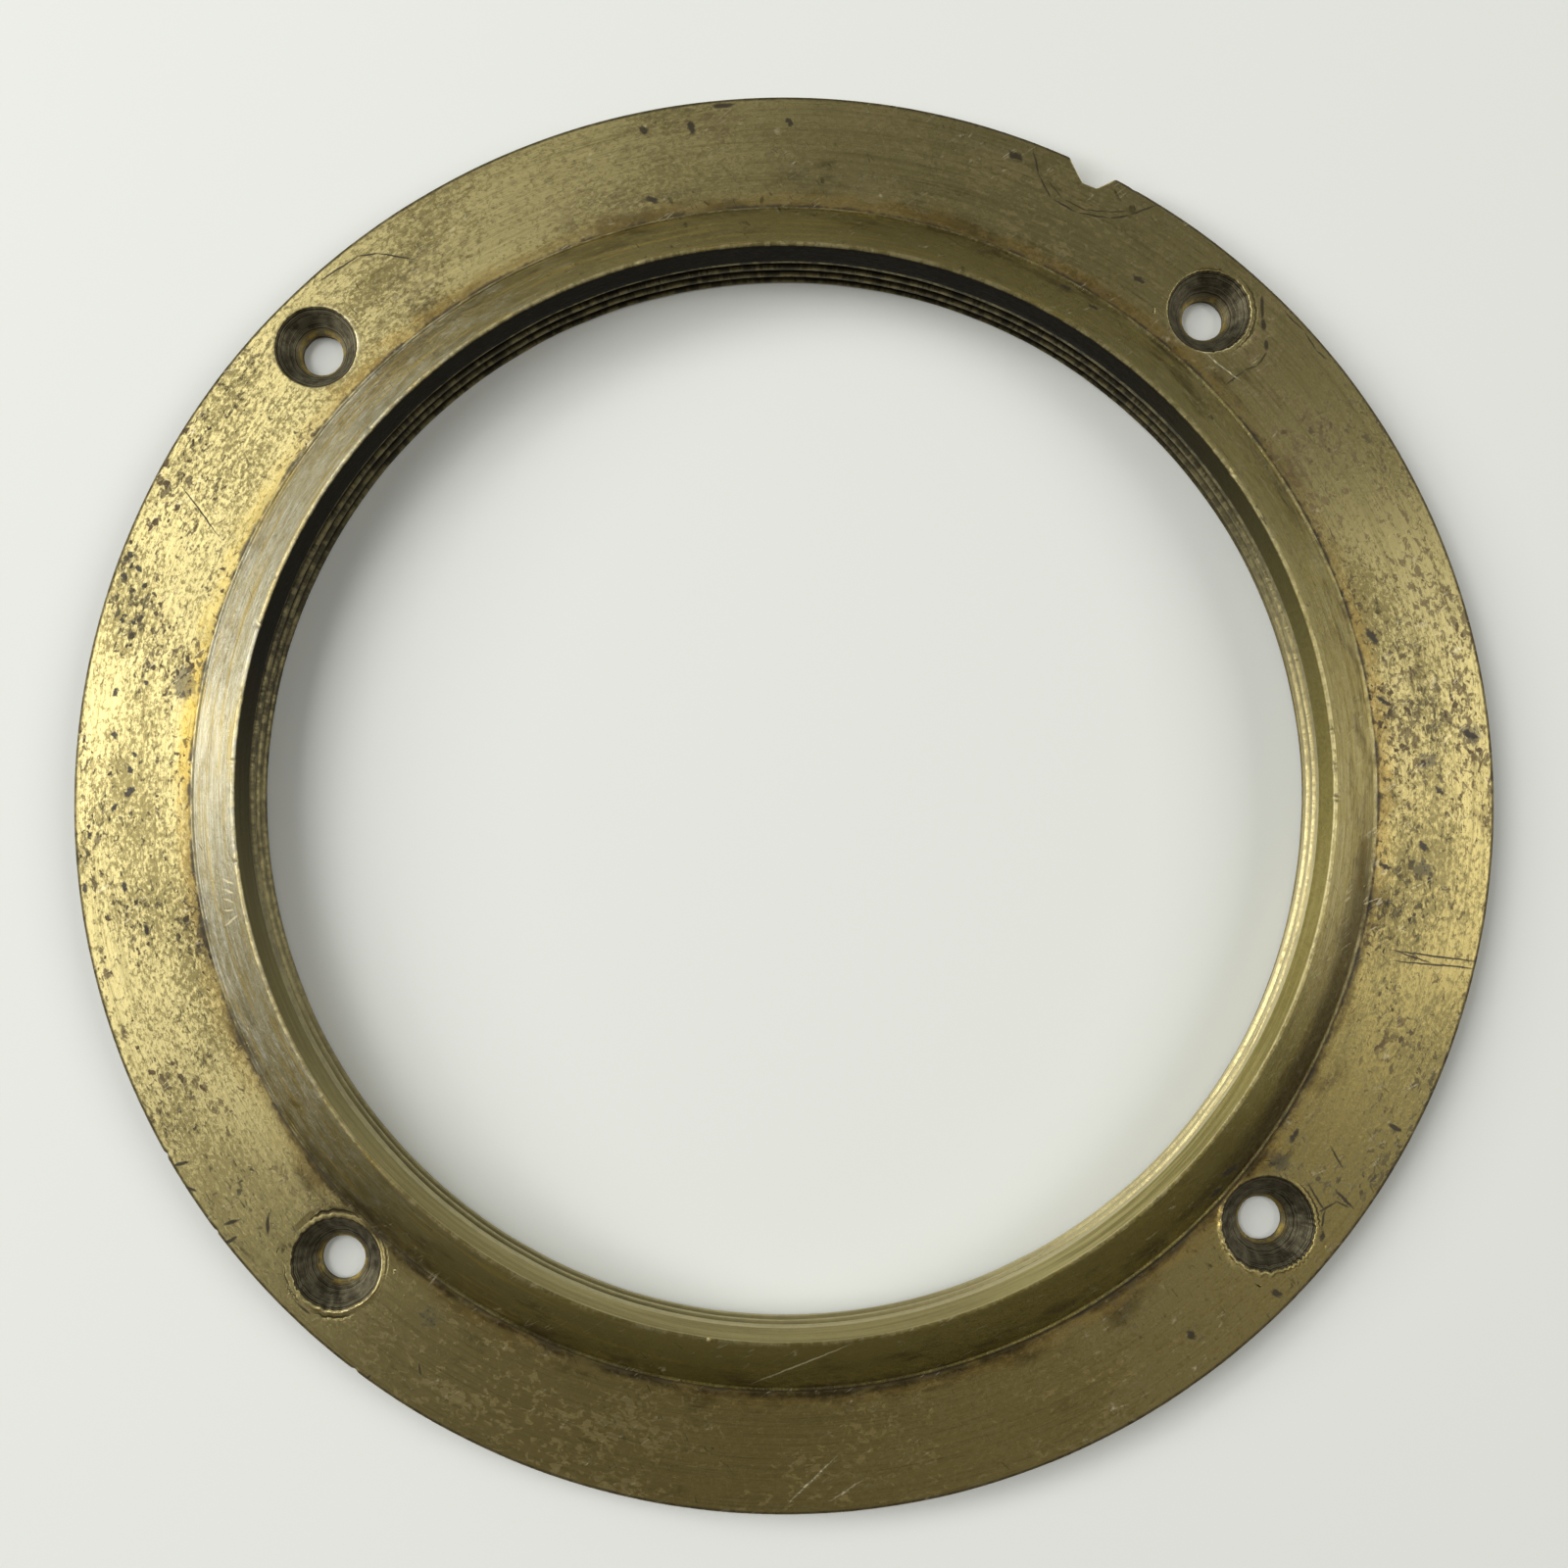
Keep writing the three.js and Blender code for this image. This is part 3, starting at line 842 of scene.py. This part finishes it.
def brass_material(finish):
    """Aged turned brass: streaked lacquer, tarnish, pits, grime and scored marks.

    Noise is laid along the turning lines by reading it at (direction, depth across them).
    Each layer is mixed over the last, from the metal up to the newest scratches.
    """
    material = bpy.data.materials.new(SLOT)
    material.use_nodes = True
    tree = material.node_tree
    tree.nodes.clear()
    n = Nodes(tree)
    place = n.vector("SCALE", n.node("ShaderNodeTexCoord").outputs["Object"], scale=1 / MM)
    apart = n.node("ShaderNodeSeparateXYZ")
    n.feed(apart.inputs[0], place)
    x, y, z = apart.outputs
    flat_place = n.combine(x, y, 0.0)
    radius = n.vector("LENGTH", flat_place)
    around = n.vector("NORMALIZE", flat_place)
    across = n.math("SUBTRACT", radius, z)

    def turned(along_scale, across_scale, shift=0.0):
        """Place on the turned surface, with its own scale along and across the grooves."""
        ring = n.vector("SCALE", around, scale=MIDDLE_RADIUS * along_scale)
        deep = n.mul_add(across, across_scale, shift)
        return n.vector("ADD", ring, n.combine(0.0, 0.0, deep))

    def toward(angle):
        """1 on the side of the ring that lies in a direction, -1 on the far side."""
        a = math.radians(angle)
        return n.vector("DOT_PRODUCT", around, (math.cos(a), math.sin(a), 0.0))

    worn = n.attribute("worn")
    cut = n.attribute("cut")
    uncut = n.span(cut, 0.0, 0.3, 1.0, 0.0)
    on_front = n.span(z, PLATE - 0.3, PLATE - 0.08)
    on_collar = n.product(n.span(radius, FOOT_RADIUS, FOOT_RADIUS - 0.15),
                          n.span(z, PLATE + 0.1, PLATE + 0.22))
    in_bore = n.product(n.span(radius, RIM_RADIUS + 0.13, RIM_RADIUS - 0.03),
                        n.span(z, TOP, TOP - 0.1))
    on_face = n.product(on_front, n.span(radius, FOOT_RADIUS - 0.1, FOOT_RADIUS), uncut)
    on_edge = n.span(radius, EDGE_RADIUS - 0.48, EDGE_RADIUS - 0.25)

    # Face: bright metal under lacquer that has browned in clouds and broken into speckle, with
    # painted light on the lower left, a painted warm reflection on the lower right and painted
    # shade on the upper right.
    cloud = n.noise(turned(0.06, 0.13), 1.0, 3.0, 0.6)
    speckle = n.noise(turned(1.9, 3.2), 1.0, 4.0, 0.8)
    crowd = n.noise(turned(0.11, 0.16, 6.0), 1.0, 3.0, 0.62)
    streak = n.noise(turned(0.05, 3.2, 9.0), 1.0, 3.0, 0.7)
    # Painted light: the mottling below has more contrast on the two lamp sides.
    lamp_sides = n.greatest([toward(LIT_LEFT), n.product(toward(3), 0.95)])
    tarnish = n.span(n.mul_add(cloud, 0.55, speckle), 0.7, 0.88)
    contrast = n.span(lamp_sides, 0.2, 0.95, 0.55, 0.95)
    tarnish = n.mul_add(n.math("SUBTRACT", tarnish, 0.45), contrast, 0.45)
    # Painted light: less tarnish towards the lower left makes the face lighter there.
    tarnish = n.product(tarnish, n.span(toward(240), 0.8, 1.0, 1.0, 0.45))
    # Painted reflection: the face turns towards warm brass at the lower right.
    browned = n.product(n.span(toward(300), 0.2, 0.95), 0.55)
    colour = n.mix(browned, finish.bright_brass, finish.warm_brass)
    colour = n.mix(tarnish, colour, finish.dull_brass)
    hair = n.noise(turned(0.1, 8.5, 40.0), 1.0, 2.0, 0.6)
    lined = n.product(n.span(hair, 0.5, 0.66), 0.35)
    streaked = n.mul_add(n.span(streak, 0.48, 0.7), 0.35, lined)
    # Painted shade: more dull brass towards the upper right.
    streaked = n.mul_add(n.span(toward(62), 0.6, 0.98), 0.25, streaked, clamp=True)
    colour = n.mix(streaked, colour, finish.dull_brass)

    # Collar: greyer and mottled where the lacquer has gone, the grey placed mostly on the two lamp
    # sides as a painted sheen, with a painted highlight of bright brass on the right and painted
    # olive shade below and at the upper right.
    mottle = n.noise(turned(0.45, 0.95, 12.0), 1.0, 5.0, 0.78)
    # Painted sheen: the greyer metal is placed mostly on the two lamp sides.
    bare_and_sheen = n.span(n.mul_add(mottle, 1.4, n.greatest([
        toward(LIT_LEFT), n.product(toward(LIT_RIGHT), 0.82)])), 1.2, 1.85)
    collar = n.mix(bare_and_sheen, finish.dull_brass, finish.collar_brass)
    golden = n.span(n.noise(turned(0.09, 1.3, 52.0), 1.0, 2.0, 0.6), 0.5, 0.66, 0.0, 0.6)
    collar = n.mix(golden, collar, finish.warm_brass)
    # Painted highlight: bright brass on the right side of the collar.
    clear = n.product(n.span(toward(LIT_RIGHT), 0.5, 0.95), 0.6)
    collar = n.mix(clear, collar, finish.bright_brass)
    lines = n.product(n.span(hair, 0.44, 0.6), 0.4)
    lines = n.mul_add(n.span(streak, 0.42, 0.66), 0.35, lines)
    collar = n.mix(lines, collar, finish.dull_brass)
    # Painted shade: olive below and at the upper right of the collar.
    collar = n.mix(n.product(n.span(toward(290), 0.45, 0.95), 0.8), collar, finish.olive)
    collar = n.mix(n.product(n.span(toward(45), 0.3, 0.9), 0.4), collar, finish.olive)
    # A darker brown band low on the cone towards the lower right.
    lower_right_band = n.mul_add(mottle, 2.2, radius)
    lower_right_band = n.product(n.span(toward(336), 0.9, 0.99), n.span(lower_right_band, 50.8, 52.6), 0.75)
    collar = n.mix(lower_right_band, collar, finish.tarnish_and_shadow_brown)
    colour = n.mix(on_collar, colour, collar)

    # Brown smudges each side of the foot.
    smudge_field = n.noise(turned(0.16, 0.35, 30.0), 1.0, 4.0, 0.68)
    near_foot = n.span(n.gap(radius, FOOT_RADIUS - 0.4), 0.5, 4.5, 1.0, 0.0)
    smudge = n.span(n.mul_add(near_foot, 0.13, smudge_field), 0.58, 0.8)
    smudge = n.product(smudge, 0.7, n.span(toward(LIT_LEFT), 0.7, 0.95, 1.0, 0.35))
    colour = n.mix(smudge, colour, finish.smudge_brown)

    # Orange lacquer left in patches along the foot of the collar.
    ragged = n.noise(turned(0.42, 1.0, 2.0), 1.0, 3.0, 0.65)
    frayed = n.mul_add(ragged, 3.4, radius)
    strong = n.span(toward(164), 0.93, 0.995)
    band = n.product(n.span(frayed, 56.7, 54.7), on_face,
                     n.span(n.noise(turned(0.035, 0.02, 7.0), 1.0, 1.0), 0.34, 0.6, 0.35, 1.0))
    colour = n.mix(n.product(band, n.span(strong, 0.0, 1.0, 0.55, 0.85)), colour,
                   n.mix(strong, finish.old_lacquer, finish.lacquer))

    # Bore: browned, with painted shade darkest at the top, a painted highlight on the lower
    # right, and crests rubbed brighter.
    # Painted shade: the upper side of the bore turns towards near black.
    upper_bore_shade = n.span(toward(SHADED_BORE), -0.75, 0.6, 0.0, 1.0)
    # Painted highlight: the lower right of the bore turns towards bright brass along streaks.
    bore_highlight = n.product(n.span(streak, 0.62, 0.36), n.span(toward(BORE_HIGHLIGHT), 0.8, 0.97, 0.3, 1.0))
    bore = n.mix(bore_highlight, finish.dull_brass, finish.bright_brass)
    lead_in = n.product(n.span(z, TOP - LEAD_IN, TOP - LEAD_IN + 0.15),
                        n.span(toward(15), 0.0, 0.95, 0.1, 0.8))
    bore = n.mix(lead_in, bore, finish.olive)
    bore = n.mix(upper_bore_shade, bore, finish.bore_shade_colour)
    # The crests' wear is real; it is painted brighter towards the lower right and dimmer in the
    # painted shade at the top.
    crest = n.product(worn, n.span(upper_bore_shade, 0.3, 1.0, 0.9, 0.25),
                      n.span(toward(BORE_HIGHLIGHT), 0.7, 0.97, 0.5, 1.3))
    bore = n.mix(crest, bore, finish.fresh)
    colour = n.mix(in_bore, colour, bore)

    # Countersinks: dark cut metal with turning rings, golden towards the drilled hole.
    rings = n.noise(n.combine(0.0, 0.0, n.product(z, 9.0)), 1.0, 2.0)
    scraped = n.noise(place, 1.0, 3.0, 0.6)
    cut_colour = n.mix(n.span(n.mul_add(scraped, 0.4, rings), 0.58, 0.8, 0.05, 0.9),
                       finish.cut_grey, finish.grime)
    cut_colour = n.mix(n.span(cut, 0.99, 0.9), cut_colour, finish.grime)
    cut_colour = n.mix(n.product(worn, n.span(scraped, 0.4, 0.62, 0.2, 1.3)), cut_colour,
                       finish.warm_brass)
    colour = n.mix(cut, colour, cut_colour)

    # Outside wall and back face: evenly browned.
    plain = n.math("MAXIMUM", on_edge, n.span(z, BORE_CHAMFER, 0.1))
    colour = n.mix(n.product(plain, n.span(speckle, 0.3, 0.6, 0.75, 1.0)), colour,
                   finish.tarnish_and_shadow_brown)

    # Rubbed rims, broken up.
    chipped = n.noise(turned(0.9, 0.6, 20.0), 1.0, 3.0, 0.7)
    rubbed = n.product(worn, n.span(chipped, 0.42, 0.6, 0.1, 0.8), uncut)
    rubbed = n.product(rubbed, n.span(on_edge, 0.0, 1.0, 1.0, 0.3),
                       n.span(toward(300), 0.5, 1.0, 1.0, 0.6))
    colour = n.mix(rubbed, colour, n.mix(n.span(worn, 0.5, 0.85), finish.bright_brass,
                                         finish.fresh))

    # Pits: dark grains of uneven shape in loose crowds, the largest nearly round.
    grains = n.noise(turned(1.2, 1.9, 5.0), 1.0, 3.0, 0.68, 0.6)
    grains = n.mul_add(n.span(toward(50), 0.3, 0.95), 0.06, grains)
    grains = n.span(n.mul_add(crowd, 0.5, grains), 0.82, 0.9)
    dots = n.cells(n.shake(turned(0.8, 1.05), 1.9, 0.8), 1.0)
    dot_size = n.span(crowd, 0.44, 0.68, 0.02, 0.3)
    dots = n.span(n.math("SUBTRACT", dots, dot_size), -0.03, 0.06, 1.0, 0.0)
    pits = n.math("MAXIMUM", n.product(grains, 0.75), dots)
    pits = n.product(pits, uncut, n.span(on_collar, 0.0, 1.0, 1.0, 0.35),
                     n.span(in_bore, 0.0, 1.0, 1.0, 0.2))
    # Painted light: the pits are painted stronger on the two lamp sides.
    marked = n.product(pits, n.span(lamp_sides, 0.3, 0.95, 0.6, 0.88),
                       n.span(toward(122), 0.9, 0.99, 1.0, 0.5))
    colour = n.mix(marked, colour, n.mix(n.span(cloud, 0.42, 0.6), finish.rust, finish.grime))

    # Grime in the corner at the collar's foot.
    broken = n.noise(turned(0.35, 0.3, 3.0), 1.0, 3.0, 0.7)
    corner = n.span(n.gap(radius, FOOT_RADIUS + 0.03), 0.04,
                    n.span(broken, 0.4, 0.72, 0.14, 0.55), 1.0, 0.0)
    corner = n.product(corner, on_front, n.span(broken, 0.36, 0.6, 0.2, 0.9))
    colour = n.mix(corner, colour, finish.grime)

    # Painted shadow: a brown band just outside the collar's foot, strongest at the bottom, where
    # the collar shades the face.
    foot = n.span(n.gap(radius, FOOT_RADIUS + 0.1), 0.2, 0.75, 1.0, 0.0)
    foot = n.product(foot, on_front, n.span(smudge_field, 0.42, 0.62, 0.2, 0.8), uncut,
                     n.span(toward(270), -0.2, 0.6, 0.2, 1.0))
    colour = n.mix(foot, colour, finish.tarnish_and_shadow_brown)

    # Stains and hair scratches.
    outside = n.product(on_front, uncut, n.math("SUBTRACT", 1.0, in_bore))
    blurred = n.shake(flat_place, 1.7, 2.3)
    stained = n.product(strokes_mark(n, blurred, STAINS), outside,
                        n.span(speckle, 0.32, 0.5, 1.0, 0.55))
    colour = n.mix(stained, colour, finish.stain)
    scratched = n.product(hair_scratches(n, flat_place, 34.0, 1.3, n.span(crowd, 0.4, 0.6)),
                          outside, 0.4)
    colour = n.mix(scratched, colour, finish.fresh)
    scored = n.product(hair_scratches(n, flat_place, 122.0, 1.1, n.span(cloud, 0.45, 0.6)),
                       outside, 0.6)
    colour = n.mix(scored, colour, finish.grime)

    # Scored and scratched marks.
    shaken = n.shake(flat_place, 1.1, 0.24)
    crumbled = n.shake(flat_place, 3.0, 0.62)
    dark = n.greatest([strokes_mark(n, shaken, DARK_MARKS), strokes_mark(n, crumbled, LARGE_PITS)])
    dark = n.product(dark, outside)
    pale = n.product(strokes_mark(n, shaken, PALE_MARKS), outside)
    colour = n.mix(n.product(dark, 0.95), colour, finish.grime)
    colour = n.mix(n.product(pale, 0.85), colour, finish.fresh)

    # Relief: turning grooves, speckle, and rings in the countersinks. It is kept short,
    # because a bump works out everything before it three times over.
    groove = n.noise(turned(0.02, 7.0, 1.0), 1.0, 3.0, 0.65)
    relief = n.product(groove, 0.012)
    relief = n.mul_add(speckle, 0.026, relief)
    relief = n.mul_add(n.product(mottle, on_collar), 0.08, relief)
    relief = n.mul_add(n.product(rings, cut), 0.15, relief)
    bump = n.node("ShaderNodeBump")
    bump.inputs["Strength"].default_value = 1.0
    bump.inputs["Distance"].default_value = MM
    n.feed(bump.inputs["Height"], relief)

    rough = n.span(tarnish, 0.0, 1.0, 0.36, 0.5)
    rough = n.mul_add(marked, 0.25, rough)
    rough = n.mul_add(n.product(worn, uncut), 0.1, rough)
    rough = n.mul_add(n.math("MAXIMUM", cut, on_edge), 0.24, rough, clamp=True)
    dirt = n.greatest([marked, corner, dark, n.product(stained, 0.6)])
    metal = n.mul_add(dirt, -0.7, 1.0)
    metal = n.mul_add(tarnish, -0.12, metal, clamp=True)

    shader = n.node("ShaderNodeBsdfPrincipled")
    n.feed(shader.inputs["Base Color"], colour)
    n.feed(shader.inputs["Roughness"], rough)
    n.feed(shader.inputs["Metallic"], metal)
    n.feed(shader.inputs["Normal"], bump.outputs[0])
    shader.inputs["Anisotropic"].default_value = 0.75
    shader.inputs["Anisotropic Rotation"].default_value = 0.25
    n.feed(shader.inputs["Tangent"], n.attribute("grain", "Vector"))
    output = n.node("ShaderNodeOutputMaterial")
    tree.links.new(shader.outputs[0], output.inputs["Surface"])
    return material


# Marks on the face and collar: half width, then the points (x, y) of a bent line.
SCRIBED_LINES = (
    (0.055, (54.1, -14.8), (61.3, -15.8)),
    (0.055, (54.2, -15.7), (61.2, -16.4)),
    (0.04, (54.1, -14.8), (57.4, -15.9)),
    (0.06, (22.9, 58.3), (23.4, 55.9), (24.5, 53.8), (26.9, 52.4), (29.8, 51.9), (31.6, 52.2),
     (34.0, 53.1)),
    (0.045, (24.1, 55.5), (25.6, 53.7), (27.6, 52.7), (29.7, 52.5), (31.5, 52.6)),
)
UPPER_MARKS = (
    (0.12, (43.6, 44.4), (43.6, 42.5)),
    (0.16, (43.7, 42.4), (43.7, 41.6)),
    (0.15, (43.9, 40.4), (43.9, 39.7)),
    (0.05, (43.9, 39.3), (43.0, 38.1), (41.9, 37.7), (40.2, 36.4)),
    (0.045, (45.6, 43.2), (47.4, 41.3), (48.4, 39.6), (49.4, 38.7)),
    (0.055, (-42.3, 46.1), (-38.8, 48.4), (-37.1, 48.6), (-34.1, 48.1)),
    (0.045, (-54.3, 26.8), (-51.1, 22.5)),
    (0.16, (-6.4, 62.5), (-4.7, 62.6)),
)
LOWER_MARKS = (
    (0.1, (-53.5, -33.6), (-52.4, -33.3)),
    (0.08, (-52.5, -35.5), (-51.6, -35.8)),
    (0.12, (-49.0, -40.3), (-48.0, -39.8)),
    (0.08, (-36.6, -52.1), (-36.0, -51.6)),
    (0.12, (-45.2, -38.0), (-45.2, -39.4)),
    (0.1, (-49.0, -38.7), (-47.9, -38.3)),
    (0.08, (-43.3, -44.0), (-42.6, -45.3), (-41.5, -46.3)),
    (0.08, (-31.8, -50.6), (-31.6, -51.6)),
    (0.07, (46.0, -35.2), (47.4, -37.5), (47.0, -39.2)),
    (0.08, (48.5, -35.8), (49.9, -37.3)),
    (0.06, (46.9, -37.6), (48.5, -36.7), (49.5, -37.2)),
    (0.06, (48.1, -32.0), (49.0, -33.7)),
    (0.13, (53.3, -30.1), (54.1, -30.5)),
    (0.14, (37.2, -36.2), (38.3, -35.4)),
)
LARGE_PITS = (
    (0.14, (-59.0, 20.9), (-58.9, 20.6)),
    (0.17, (-58.2, 19.6), (-58.1, 19.3)),
    (0.16, (-59.5, 19.0), (-59.4, 18.6)),
    (0.14, (-58.5, 14.7), (-58.4, 14.4)),
    (0.12, (-59.5, 14.9), (-59.5, 14.6)),
    (0.13, (-57.2, 9.2), (-57.2, 9.0)),
    (0.14, (-60.1, 8.0), (-59.8, 8.5)),
    (0.14, (-58.1, 2.8), (-58.0, 2.6)),
    (0.14, (-60.0, 4.6), (-59.8, 4.2)),
    (0.13, (-58.4, 1.5), (-58.4, 1.1)),
    (0.19, (-58.7, -1.0), (-58.1, -0.4)),
    (0.14, (-59.9, -2.3), (-59.6, -1.9)),
    (0.12, (-61.9, -4.3), (-61.9, -4.8)),
    (0.17, (-58.7, -8.9), (-58.6, -9.5)),
    (0.14, (-62.2, -9.0), (-62.1, -9.5)),
    (0.14, (-56.6, -12.6), (-56.5, -13.3)),
    (0.22, (52.5, 13.8), (53.2, 12.7)),
    (0.12, (53.2, 7.8), (54.2, 7.1)),
    (0.13, (53.0, -7.1), (53.9, -7.5)),
    (0.14, (58.3, -0.4), (58.7, -0.9)),
    (0.17, (56.7, -5.3), (57.1, -5.8)),
    (0.17, (60.9, 4.6), (62.0, 4.2)),
    (0.22, (32.0, 46.4), (32.7, 46.0)),
    (0.16, (25.2, 45.3), (25.9, 44.9)),
    (0.14, (27.6, 43.4), (28.3, 43.0)),
    (0.22, (-13.1, 60.4), (-12.7, 60.1)),
    (0.22, (-8.6, 60.9), (-8.4, 60.0)),
    (0.20, (0.4, 61.2), (0.6, 60.8)),
    (0.16, (-12.6, 53.8), (-11.6, 53.5)),
    (0.24, (20.9, 57.9), (21.7, 57.5)),
    (0.16, (47.2, -39.4), (47.1, -40.0)),
    (0.23, (42.8, -44.5), (43.3, -44.7)),
    (0.26, (35.3, -48.0), (35.7, -48.3)),
    (0.18, (45.1, -30.6), (44.6, -31.4)),
    (0.20, (38.3, -34.2), (39.5, -33.5)),
)
STAINS = (
    (0.62, (-53.6, 8.2), (-53.9, 9.8)),
    (0.55, (61.2, 4.9), (61.7, 4.1)),
    (0.5, (57.4, 2.2), (57.9, 1.8)),
    (0.45, (56.3, -7.4), (57.1, -7.6)),
    (0.6, (43.1, -32.9), (43.9, -33.5)),
    (0.5, (-31.5, -46.4), (-30.4, -46.9)),
)
DARK_MARKS = SCRIBED_LINES + UPPER_MARKS + LOWER_MARKS
PALE_MARKS = (
    (0.055, (-2.1, -51.8), (4.9, -48.2)),
    (0.05, (0.5, -62.3), (4.3, -58.7)),
    (0.05, (4.2, -62.1), (6.6, -60.6)),
    (0.06, (-48.9, -8.5), (-47.8, -8.9)),
    (0.06, (-48.9, -9.4), (-47.8, -9.7)),
    (0.06, (-48.8, -10.2), (-47.8, -10.5)),
    (0.05, (-48.9, -11.2), (-47.9, -11.2)),
    (0.07, (-48.8, -12.5), (-47.4, -11.7)),
    (0.045, (38.3, 39.3), (41.1, 37.0)),
)


def floor_material(stage):
    """Plain pale floor, without gloss."""
    material = bpy.data.materials.new("stage_floor")
    material.use_nodes = True
    shader = material.node_tree.nodes["Principled BSDF"]
    shader.inputs["Base Color"].default_value = (*stage.floor_colour, 1.0)
    shader.inputs["Roughness"].default_value = 0.85
    return material


# ---------------------------------------------------------------- operators


class FLANGE_OT_ring(bpy.types.Operator):
    """Build the finished flange and let it stand for the plain CAD ring"""

    bl_idname = "flange.ring"
    bl_label = "Build flange"

    def execute(self, context):
        scene = context.scene
        piece = bpy.data.objects.new("flange", flange_mesh(scene.flange_sizes))
        scene.collection.objects.link(piece)
        piece.data.materials.append(brass_material(scene.flange_finish))
        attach(piece, "root")
        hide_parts(NODE)
        return {"FINISHED"}


def soft_light(name, azimuth, elevation, width, height, power, colour):
    """An area light that faces the flange from a direction given in degrees."""
    data = bpy.data.lights.new(name, "AREA")
    data.shape = "RECTANGLE"
    data.size, data.size_y = width, height
    data.energy = power
    data.color = colour
    light = bpy.data.objects.new(name, data)
    a, e = math.radians(azimuth), math.radians(elevation)
    direction = Vector((math.cos(a) * math.cos(e), math.sin(a) * math.cos(e), math.sin(e)))
    light.location = direction * LIGHT_DISTANCE
    light.rotation_euler = direction.to_track_quat("Z", "Y").to_euler()
    bpy.context.scene.collection.objects.link(light)
    return light


def soft_room(stage):
    """A dim room: lighter and cooler behind the flange's top, darker and warmer below it."""
    world = bpy.data.worlds.new("soft_room")
    world.use_nodes = True
    n = Nodes(world.node_tree)
    apart = n.node("ShaderNodeSeparateXYZ")
    n.feed(apart.inputs[0], n.node("ShaderNodeTexCoord").outputs["Generated"])
    share = n.span(apart.outputs[1], -0.7, 0.8)
    colour = n.mix(share, stage.dark_side, stage.light_side)
    world.node_tree.links.new(colour, world.node_tree.nodes["Background"].inputs["Color"])
    return world


class FLANGE_OT_stage(bpy.types.Operator):
    """Add the floor, the soft lights and the camera"""

    bl_idname = "flange.stage"
    bl_label = "Build stage"

    def execute(self, context):
        scene = context.scene
        stage = scene.flange_stage
        corners = FLOOR_HALF * np.array([[-1, -1], [1, -1], [1, 1], [-1, 1]])
        points = np.column_stack([corners, np.full(4, FLOOR_Z - FLOOR_GAP)])
        mesh = bpy.data.meshes.new("floor")
        mesh.from_pydata(points.tolist(), [], [(0, 1, 2, 3)])
        floor = bpy.data.objects.new("floor", mesh)
        scene.collection.objects.link(floor)
        mesh.materials.append(floor_material(stage))
        for light in LIGHTS:
            soft_light(*light)
        scene.world = soft_room(stage)
        scene.view_settings.view_transform = "Standard"
        self.add_camera(scene, stage)
        return {"FINISHED"}

    def add_camera(self, scene, stage):
        data = bpy.data.cameras.new("camera")
        data.sensor_width = 36.0
        data.lens = stage.lens
        data.clip_start = 1.0 * MM
        camera = bpy.data.objects.new("camera", data)
        back = Vector((0.0, -math.sin(stage.tilt), math.cos(stage.tilt)))
        target = Vector((0.0, 0.0, scene.flange_sizes.plate))
        camera.location = target + back * stage.distance
        camera.rotation_euler = back.to_track_quat("Z", "Y").to_euler()
        scene.collection.objects.link(camera)
        scene.camera = camera


class FLANGE_PT_panel(bpy.types.Panel):
    """Lists the steps that build the flange"""

    bl_idname = "FLANGE_PT_panel"
    bl_label = "Brass lens flange"
    bl_space_type = "VIEW_3D"
    bl_region_type = "UI"
    bl_category = "Flange"

    def draw(self, context):
        for operator in (FLANGE_OT_ring, FLANGE_OT_stage):
            self.layout.operator(operator.bl_idname)
        for owner, group in (("flange_sizes", FlangeSizes), ("flange_finish", FlangeFinish),
                             ("flange_stage", StageSettings)):
            box = self.layout.box()
            for name in group.__annotations__:
                box.prop(getattr(context.scene, owner), name)


CLASSES = (FlangeSizes, FlangeFinish, StageSettings, FLANGE_OT_ring, FLANGE_OT_stage,
           FLANGE_PT_panel)


def register():
    for item in CLASSES:
        bpy.utils.register_class(item)
    bpy.types.Scene.flange_sizes = bpy.props.PointerProperty(type=FlangeSizes)
    bpy.types.Scene.flange_finish = bpy.props.PointerProperty(type=FlangeFinish)
    bpy.types.Scene.flange_stage = bpy.props.PointerProperty(type=StageSettings)


def unregister():
    del bpy.types.Scene.flange_stage
    del bpy.types.Scene.flange_finish
    del bpy.types.Scene.flange_sizes
    for item in reversed(CLASSES):
        bpy.utils.unregister_class(item)


def main():
    register()
    bpy.ops.flange.ring()
    bpy.ops.flange.stage()


if __name__ == "__main__":
    main()
